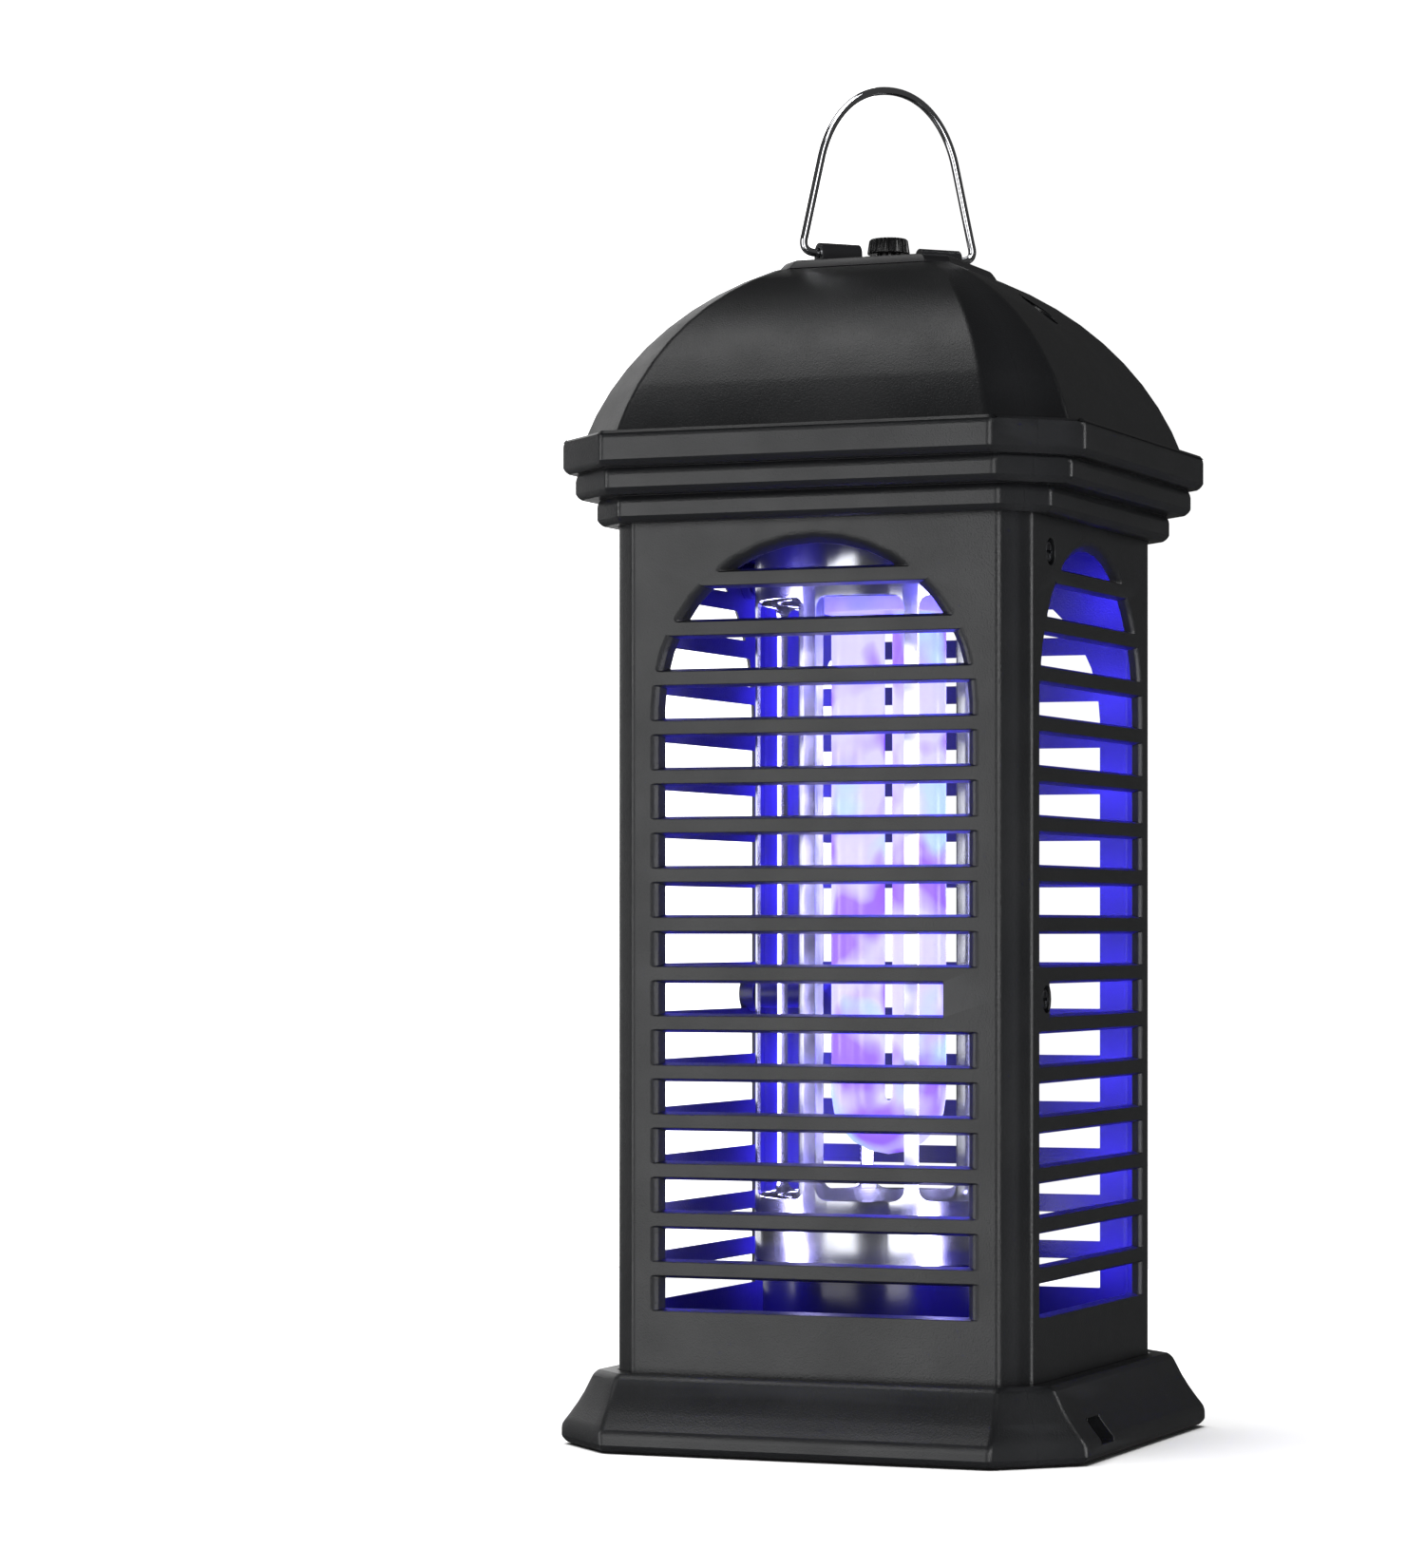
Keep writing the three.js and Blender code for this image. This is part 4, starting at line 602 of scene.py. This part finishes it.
# ------------------------------------------------------------------------ sub-assemblies
@dataclass
class Housing:
    """The six mouldings of the lantern's outside: two roof, two column and two base halves."""

    round_mm: float = 0.25
    broken_mm: float = 1.1
    column_round_mm: float = 0.15
    segments: int = 3
    sill_mm: float = 33.6
    slot_pitch_mm: float = 11.9
    slot_middle_mm: float = 4.3
    slot_count: int = 16
    slot: str = "housing_plastic"

    def build(self) -> None:
        """Builds the mouldings with rounded edges."""
        body = Body.HOUSING.value
        for side, end, sign in (("right", "rear", 1), ("left", "front", -1)):
            roof, base = f"{side}_roof_half", f"{side}_base_half"
            refined(roof, f"{roof}_moulding", HOUSING_ABS, body, self.slot, self.round_mm,
                    self.segments, cuts=self._roof_cuts(sign), broken_mm=self.broken_mm)
            refined(f"{side}_louvre_panel", f"{side}_{end}_column_moulding", HOUSING_ABS, body,
                    self.slot, self.column_round_mm, self.segments, cuts=self._column_cuts(),
                    joined_to=(f"{end}_louvre_panel",), broken_mm=self.broken_mm,
                    long_mm=math.inf)
            refined(base, f"{base}_moulding", HOUSING_ABS, body, self.slot, self.round_mm,
                    self.segments, cuts=self._base_cuts(sign), broken_mm=self.broken_mm)

    def _column_cuts(self) -> tuple[Cut, ...]:
        """Gives the planes through the louvre slots and the screw holes.

        Returns:
            The planes.
        """
        slots = tuple(self.sill_mm + self.slot_pitch_mm * k + self.slot_middle_mm
                      for k in range(self.slot_count))
        screws = tuple(sum(v.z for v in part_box(f"right_column_{which}_screw")) / 2 / MM
                       for which in ("top", "middle"))
        return level_cuts(slots + screws)

    def _roof_cuts(self, sign: int) -> tuple[Cut, ...]:
        """Gives the planes through the roof's screw well and the cord's outlet.

        Args:
            sign: 1 for the right half, -1 for the left one.

        Returns:
            The planes.
        """
        low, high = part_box(f"{'right' if sign > 0 else 'left'}_roof_screw")
        outlet = sum(v.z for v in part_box("cord_grommet")) / 2 / MM
        return (level_cuts(((low.x + high.x) / 2 / MM, 0.0), 0) + level_cuts((0.0,), 1)
                + level_cuts((outlet,)))

    def _base_cuts(self, sign: int) -> tuple[Cut, ...]:
        """Gives the planes through the base's screw holes and pocket.

        Args:
            sign: 1 for the right half, -1 for the left one.

        Returns:
            The planes.
        """
        low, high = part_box(f"{'right' if sign > 0 else 'left'}_base_seam_screw")
        middle = (low + high) / 2 / MM
        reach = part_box("base_plate_screw_1")
        plate = (reach[0].x + reach[1].x) / 2 / MM * sign
        return (level_cuts((0.0, plate), 0) + level_cuts((0.0, plate, middle.y), 1)
                + level_cuts((middle.z,)))


@dataclass
class Fasteners:
    """The column, base, roof and plate screws."""

    round_mm: float = 0.12
    slot: str = "screw_steel"

    def build(self) -> None:
        """Builds every screw with softened edges."""
        for node in sorted(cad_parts):
            if "screw" in node:
                refined(node, f"{node}_finished", BLACKENED_STEEL, Body.HOUSING.value, self.slot,
                        self.round_mm)


@dataclass
class CapAndSwitch:
    """The cap plate with its lugs, and the rotary switch under it."""

    cap_round_mm: float = 0.4
    knob_round_mm: float = 0.1
    bush_round_mm: float = 0.2

    def build(self) -> None:
        """Builds the cap, the knob, the switch and the cord outlet's bush."""
        across_lugs = tuple(Vector((1, -1, 0)).normalized())
        refined("top_cap", "cap_plate", CAP_ABS, Body.HOUSING.value, "cap_plastic",
                self.cap_round_mm, cuts=(((0.0, 0.0, 0.0), across_lugs),))
        refined("switch_knob", "ribbed_knob", KNOB_ACETAL, Body.KNOB.value, "knob_plastic",
                self.knob_round_mm)
        refined("switch_body", "switch_case", GLOSSY_ABS, Body.HOUSING.value, "black_plastic")
        refined("cord_grommet", "outlet_bush", NITRILE_RUBBER, Body.HOUSING.value, "foot_rubber",
                self.bush_round_mm)


@dataclass
class BailWire:
    """The chromed wire bail, bent from one length of 2 mm wire and swept smoothly round.

    Its bends are cubic curves in the upright plane of the lugs. Its level and its height come from
    the CAD bail's box.
    """

    radius_mm: float = 1.0
    foot_mm: float = 9.5
    half_width_mm: float = 23.8
    bend_mm: float = 4.2
    lean_mm: float = 5.4
    arch_radius_mm: float = 17.8
    arch_rise_mm: float = 9.0
    bend_pull: float = 0.3
    crown_pull: float = 0.56
    bend_steps: int = 14
    arch_steps: int = 26
    sides: int = 24
    pieces: list[bpy.types.Object] = field(default_factory=list)

    def build(self) -> None:
        """Builds the wire."""
        low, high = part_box("bail")
        level = low.z + self.radius_mm * MM
        height = (high.z - low.z) / MM - 2 * self.radius_mm
        route = self._route(height)
        bm = bmesh.new()
        rings = [self._ring(bm, route, number, level) for number in range(len(route))]
        for first, second in zip(rings, rings[1:]):
            for i in range(self.sides):
                j = (i + 1) % self.sides
                bm.faces.new((first[i], first[j], second[j], second[i]))
        for ring in (rings[0], rings[-1]):
            bm.faces.new(ring)
        bmesh.ops.recalc_face_normals(bm, faces=bm.faces)
        for face in bm.faces:
            face.smooth = len(face.verts) == 4
        mesh = bpy.data.meshes.new("bail_wire")
        bm.to_mesh(mesh)
        bm.free()
        wire = bpy.data.objects.new("bail_wire", mesh)
        bpy.context.scene.collection.objects.link(wire)
        mesh.materials.append(material_of(CHROMED_WIRE))
        adopt(wire, Body.BAIL.value, "bail_chrome", "bail")
        self.pieces.append(wire)

    def _route(self, height: float) -> list[tuple[float, float]]:
        """Gives the wire's centreline in its own plane, from one foot over the crown to the other.

        Args:
            height: the crown above the feet, in millimetres.

        Returns:
            Points as distance from the axis and height, in millimetres.
        """
        wide, bend = self.half_width_mm, self.bend_mm
        arch_foot = height - self.arch_radius_mm
        arch_half = wide - self.lean_mm
        lean = self.lean_mm / arch_foot
        pull, rise = self.bend_pull * bend, self.arch_rise_mm
        knee = ((wide - bend, 0.0), (wide - pull, 0.0), (wide, pull), (wide - bend * lean, bend))
        arch = ((arch_half, arch_foot), (arch_half - rise * lean, arch_foot + rise),
                (arch_half * self.crown_pull, height), (0.0, height))
        half = [(self.foot_mm, 0.0)] + self._curve(knee, self.bend_steps)
        half += self._curve(arch, self.arch_steps)
        return half + [(-across, up) for across, up in reversed(half[:-1])]

    @staticmethod
    def _curve(points: tuple[tuple[float, float], ...], steps: int) -> list[tuple[float, float]]:
        """Gives points along a cubic curve.

        Args:
            points: its two ends, with its two control points between them.
            steps: the number of pieces to cut it into.

        Returns:
            The points, with both ends.
        """
        found = []
        for step in range(steps + 1):
            t = step / steps
            shares = ((1 - t) ** 3, 3 * t * (1 - t) ** 2, 3 * t * t * (1 - t), t ** 3)
            found.append(tuple(sum(share * point[i] for share, point in zip(shares, points))
                               for i in (0, 1)))
        return found

    def _ring(self, bm: bmesh.types.BMesh, route: list[tuple[float, float]], number: int,
              level: float) -> list[bmesh.types.BMVert]:
        """Adds the wire's round section at one point of its route.

        Args:
            bm: the mesh to add to.
            route: the centreline.
            number: which of its points.
            level: the height of the feet, in metres.

        Returns:
            The section's vertices in order.
        """
        across, up = route[number]
        before, after = route[max(number - 1, 0)], route[min(number + 1, len(route) - 1)]
        ahead = Vector((after[0] - before[0], after[1] - before[1])).normalized()
        diagonal = Vector((1, 1, 0)).normalized()
        square = Vector((-1, 1, 0)).normalized()
        upward = Vector((0, 0, 1))
        normal = -ahead.y * diagonal + ahead.x * upward
        centre = (across * diagonal + up * upward) * MM + level * upward
        ring = []
        for side in range(self.sides):
            turn = 2 * math.pi * side / self.sides
            offset = (math.cos(turn) * normal + math.sin(turn) * square) * self.radius_mm * MM
            ring.append(bm.verts.new(centre + offset))
        return ring


@dataclass
class ElectrodeCage:
    """Both electrodes, their insulators and the chute they stand on."""

    sheets: list[bpy.types.Object] = field(default_factory=list)

    def build(self) -> None:
        """Builds the cage."""
        for node in ("outer_electrode", "inner_electrode"):
            self.sheets.append(refined(node, f"{node}_sheet", ROLLED_STAINLESS,
                                       Body.HOUSING.value, "electrode_metal", 0.0))
        for node in ("upper_insulator", "lower_insulator"):
            refined(node, f"{node}_ring", INSULATOR_NYLON, Body.HOUSING.value,
                    "insulator_plastic", 0.0)
        refined("insect_chute", "chute_tube", GLOSSY_ABS, Body.HOUSING.value, "black_plastic", 0.0)


@dataclass
class Lamp:
    """The U-tube lamp with its base and holder."""

    def build(self) -> None:
        """Builds the lamp."""
        refined("lamp_tube", "lamp_tube_glass", LampPhosphor(), Body.HOUSING.value, "lamp_glass",
                0.0, smooth_angle=TUBE_ANGLE)
        for node in ("lamp_base", "lamp_holder"):
            refined(node, f"{node}_moulding", LAMP_THERMOSET, Body.HOUSING.value, "lamp_plastic")


@dataclass
class Underside:
    """The plate, the tray, the feet and the column's floor and deck."""

    round_mm: float = 0.3
    foot_round_mm: float = 0.4

    def build(self) -> None:
        """Builds the underside and the partitions."""
        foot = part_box("foot_1")
        reach = (foot[0].x + foot[1].x) / 2 / MM
        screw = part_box("base_plate_screw_1")
        off = (screw[0].x + screw[1].x) / 2 / MM
        places = (-off, -reach, reach, off)
        holes = level_cuts(places, 0) + level_cuts(places, 1)
        refined("base_plate", "bottom_plate", GLOSSY_ABS, Body.HOUSING.value, "black_plastic",
                self.round_mm, cuts=holes)
        for node, name in (("column_floor", "floor_panel"), ("upper_deck", "deck_panel")):
            refined(node, name, GLOSSY_ABS, Body.HOUSING.value, "black_plastic", 0.0)
        refined("insect_tray", "tray_dish", GLOSSY_ABS, Body.TRAY.value, "black_plastic",
                self.round_mm)
        for number in range(1, 5):
            refined(f"foot_{number}", f"rubber_foot_{number}", NITRILE_RUBBER, Body.HOUSING.value,
                    "foot_rubber", self.foot_round_mm)


@dataclass
class Electronics:
    """The board in the dome and what stands on it."""

    board_round_mm: float = 0.15
    choke_round_mm: float = 0.6
    case_round_mm: float = 0.5

    def build(self) -> None:
        """Builds the board, its components and the leads."""
        body = Body.HOUSING.value
        refined("circuit_board", "board_panel", BOARD_LAMINATE, body, "board_laminate",
                self.board_round_mm)
        refined("ballast_choke", "choke_block", WINDING_TAPE, body, "choke_winding",
                self.choke_round_mm)
        for node in ("smoothing_capacitor", "multiplier_capacitor_1", "multiplier_capacitor_2",
                     "multiplier_capacitor_3", "lamp_starter"):
            refined(node, f"{node}_case", SHRINK_SLEEVE, body, "component_case",
                    self.case_round_mm)
        for node in ("outer_electrode_lead", "inner_electrode_lead", "switch_lead"):
            refined(node, f"{node}_wire", SILICONE_LEAD, body, "lead_insulation", 0.0,
                    smooth_angle=TUBE_ANGLE)


# ------------------------------------------------------------------------ studio
class Reach(Enum):
    """Whether a light falls on nothing but the listed pieces, or on all the others."""

    ONLY = "INCLUDE"
    ALL_BUT = "EXCLUDE"


def limit_light(light: bpy.types.Object, listed: list[bpy.types.Object], reach: Reach) -> None:
    """Limits what a light falls on.

    Args:
        light: the light.
        listed: the pieces that the limit names.
        reach: whether they alone are lit, or all but them.
    """
    receivers = bpy.data.collections.new(f"{light.name}_receivers")
    for piece in listed:
        receivers.objects.link(piece)
    light.light_linking.receiver_collection = receivers
    for row in receivers.collection_objects:
        row.light_linking.link_state = reach.value


@dataclass(frozen=True)
class AreaLight:
    """A soft box: its place, what it points at, its size and its power."""

    name: str
    place: tuple[float, float, float]
    target: tuple[float, float, float]
    size: tuple[float, float]
    power: float
    colour: str = "ffffff"
    seen: bool = True

    def build(self) -> bpy.types.Object:
        """Adds the light.

        Returns:
            Its object.
        """
        data = bpy.data.lights.new(self.name, "AREA")
        data.shape = "RECTANGLE"
        data.size, data.size_y = self.size
        data.energy = self.power
        data.color = linear(self.colour)[:3]
        obj = bpy.data.objects.new(self.name, data)
        bpy.context.scene.collection.objects.link(obj)
        obj.visible_camera = self.seen
        obj.location = self.place
        aim = Vector(self.target) - Vector(self.place)
        obj.rotation_euler = aim.to_track_quat("-Z", "Y").to_euler()
        return obj


COLUMN_MIDDLE = (0.0, 0.0, 0.16)


def soft_box(name: str, bearing: float, distance: float, height: float,
             size: tuple[float, float], power: float) -> AreaLight:
    """Places an upright soft box round the lantern.

    Args:
        name: the light's name.
        bearing: degrees from the front face towards the right one.
        distance: from the lantern's axis.
        height: of its middle.
        size: width and height.
        power: in watts.

    Returns:
        The light.
    """
    angle = math.radians(bearing)
    place = (distance * math.sin(angle), -distance * math.cos(angle), height)
    return AreaLight(name, place, COLUMN_MIDDLE, size, power)


FLOOR_LIGHT = AreaLight("floor_light", (-0.3, -0.2, 1.7), (0.0, 0.0, 0.0), (2.0, 2.0), 76.0)
# Above and before the lantern: the band across the dome, the sheen of the front face and the lines
# along its corners.
FRONT_BOXES = (
    AreaLight("top_box", (-0.57, -0.25, 1.6), (0.0, 0.0, 0.25), (0.5, 0.9), 3.7),
    soft_box("front_left", -24.0, 1.7, 0.2, (1.0, 1.4), 9.1),
    soft_box("corner_strip", 31.0, 1.9, 0.4, (0.7, 1.5), 12.0),
)
# To the sides and behind. The bail would vanish before the white background in their light.
SIDE_BOXES = (
    soft_box("left_strip", -72.0, 1.7, 0.3, (0.4, 1.3), 6.0),
    soft_box("side_strip", 112.0, 1.6, 0.4, (0.45, 1.4), 8.0),
    soft_box("rear_left", -140.0, 1.7, 0.5, (1.2, 1.2), 5.0),
)
# The bright line along the bail's crown.
WIRE_CARD = AreaLight("wire_card", (0.45, -1.1, 1.6), (0.0, 0.0, 0.32), (1.0, 0.9), 24.0)


@dataclass(frozen=True)
class GlowLight:
    """The lamp's light inside the column, as a small sphere that isn't seen itself."""

    name: str
    place: tuple[float, float, float]
    power: float
    colour: str = "3a2cff"
    radius: float = 0.006

    def build(self) -> bpy.types.Object:
        """Adds the light.

        Returns:
            Its object.
        """
        data = bpy.data.lights.new(self.name, "POINT")
        data.energy = self.power
        data.color = linear(self.colour)[:3]
        data.shadow_soft_size = self.radius
        obj = bpy.data.objects.new(self.name, data)
        bpy.context.scene.collection.objects.link(obj)
        obj.location = self.place
        obj.visible_camera = False
        obj.visible_glossy = False
        return obj


@dataclass
class Studio:
    """Camera, floor, surroundings and lights."""

    camera_place: tuple[float, float, float] = (0.4109, -1.1296, 0.1257)
    camera_turn: float = 22.082
    lens: float = 110.70
    shift_y: float = 0.0934
    sensor_mm: float = 36.0
    clip_end: float = 50.0
    floor_reach: float = 0.6
    floor_sides: int = 96
    backdrop: float = 1.05
    surroundings: float = 0.055
    glow_levels: tuple[float, ...] = (0.042, 0.066, 0.09, 0.114, 0.138, 0.162, 0.186, 0.21)
    glow_reach: float = 0.0415
    glow_power: float = 0.27
    strip_reach: float = 0.0425
    strip_level: float = 0.125
    strip_size: tuple[float, float] = (0.014, 0.17)
    strip_power: float = 0.15
    strip_colour: str = "cfc8ff"

    def build(self, bail: list[bpy.types.Object], cage: list[bpy.types.Object]) -> None:
        """Adds the whole studio.

        Args:
            bail: the bail's pieces, whose edges stay dark because the side boxes leave them out.
            cage: the electrodes, which mirror the lamp.
        """
        self._camera()
        floor = self._floor()
        self._world()
        limit_light(FLOOR_LIGHT.build(), [floor], Reach.ONLY)
        for light in FRONT_BOXES:
            limit_light(light.build(), [floor], Reach.ALL_BUT)
        for light in SIDE_BOXES:
            limit_light(light.build(), [floor] + bail, Reach.ALL_BUT)
        limit_light(WIRE_CARD.build(), bail, Reach.ONLY)
        self._light_cage(cage)
        for number, place in enumerate(self._glow_places()):
            glow = GlowLight(f"column_glow_{number}", place, self.glow_power).build()
            limit_light(glow, [floor], Reach.ALL_BUT)

    def _light_cage(self, cage: list[bpy.types.Object]) -> None:
        """Adds what the cage mirrors of the lamp: a strip in each corner that falls on it alone.

        Args:
            cage: the cage's pieces.
        """
        for number, (sx, sy) in enumerate(((1, 1), (-1, 1), (-1, -1), (1, -1))):
            place = (sx * self.strip_reach, sy * self.strip_reach, self.strip_level)
            strip = AreaLight(f"cage_strip_{number}", place, (0.0, 0.0, self.strip_level),
                              self.strip_size, self.strip_power, self.strip_colour, seen=False)
            limit_light(strip.build(), cage, Reach.ONLY)

    def _camera(self) -> None:
        """Adds the camera."""
        data = bpy.data.cameras.new("camera")
        data.lens = self.lens
        data.sensor_width = self.sensor_mm
        data.shift_y = self.shift_y
        data.clip_end = self.clip_end
        camera = bpy.data.objects.new("camera", data)
        bpy.context.scene.collection.objects.link(camera)
        camera.location = self.camera_place
        camera.rotation_euler = (math.pi / 2, 0, math.radians(self.camera_turn))
        bpy.context.scene.camera = camera

    def _floor(self) -> bpy.types.Object:
        """Adds the pale floor, a round sheet of paper, which the lantern's gloss doesn't show.

        Returns:
            The floor.
        """
        bm = bmesh.new()
        bmesh.ops.create_circle(bm, cap_ends=True, segments=self.floor_sides,
                                radius=self.floor_reach)
        mesh = bpy.data.meshes.new("floor")
        bm.to_mesh(mesh)
        bm.free()
        floor = bpy.data.objects.new("floor", mesh)
        bpy.context.scene.collection.objects.link(floor)
        paper = Finish("studio_paper", "fafafa", 0.9, mottle=0.004, mottle_mm=400).build()
        self._clear_below(paper)
        mesh.materials.append(paper)
        floor.visible_glossy = False
        floor.visible_shadow = False
        return floor

    @staticmethod
    def _clear_below(paper: bpy.types.Material) -> None:
        """Lets a view from under the floor pass through it, so that the tray and the feet show.

        Args:
            paper: the floor's material.
        """
        tree = paper.node_tree
        output = next(node for node in tree.nodes if node.type == "OUTPUT_MATERIAL")
        shader = output.inputs["Surface"].links[0].from_socket
        under = add_node(tree, "ShaderNodeNewGeometry").outputs["Backfacing"]
        clear = add_node(tree, "ShaderNodeBsdfTransparent").outputs["BSDF"]
        mixed = add_node(tree, "ShaderNodeMixShader", links={0: under, 1: shader, 2: clear})
        tree.links.new(mixed.outputs["Shader"], output.inputs["Surface"])

    def _world(self) -> None:
        """Sets white surroundings to look at, which light the object more dimly."""
        world = bpy.data.worlds.new("studio")
        world.use_nodes = True
        tree = world.node_tree
        tree.nodes.clear()
        seen = add_node(tree, "ShaderNodeBackground",
                        values={"Color": linear("ffffff"), "Strength": self.backdrop})
        lit = add_node(tree, "ShaderNodeBackground",
                       values={"Color": linear("ffffff"), "Strength": self.surroundings})
        path = add_node(tree, "ShaderNodeLightPath")
        mixed = add_node(tree, "ShaderNodeMixShader",
                         links={0: path.outputs["Is Camera Ray"], 1: lit.outputs["Background"],
                                2: seen.outputs["Background"]})
        add_node(tree, "ShaderNodeOutputWorld", links={"Surface": mixed.outputs["Shader"]})
        bpy.context.scene.world = world

    def _glow_places(self) -> list[tuple[float, float, float]]:
        """Gives the places of the lamp's light in the four corners of the column.

        Returns:
            The places.
        """
        return [(sx * self.glow_reach, sy * self.glow_reach, z)
                for z in self.glow_levels for sx in (-1, 1) for sy in (-1, 1)]


def main() -> None:
    """Builds the lantern and its studio."""
    logging.basicConfig(level=logging.INFO, format="%(message)s")
    bpy.context.scene.view_settings.view_transform = "Standard"
    bail, cage = BailWire(), ElectrodeCage()
    for part in (Housing(), Fasteners(), CapAndSwitch(), bail, cage, Lamp(), Underside(),
                 Electronics()):
        part.build()
    Studio().build(bail.pieces, cage.sheets)


if __name__ == "__main__":
    main()
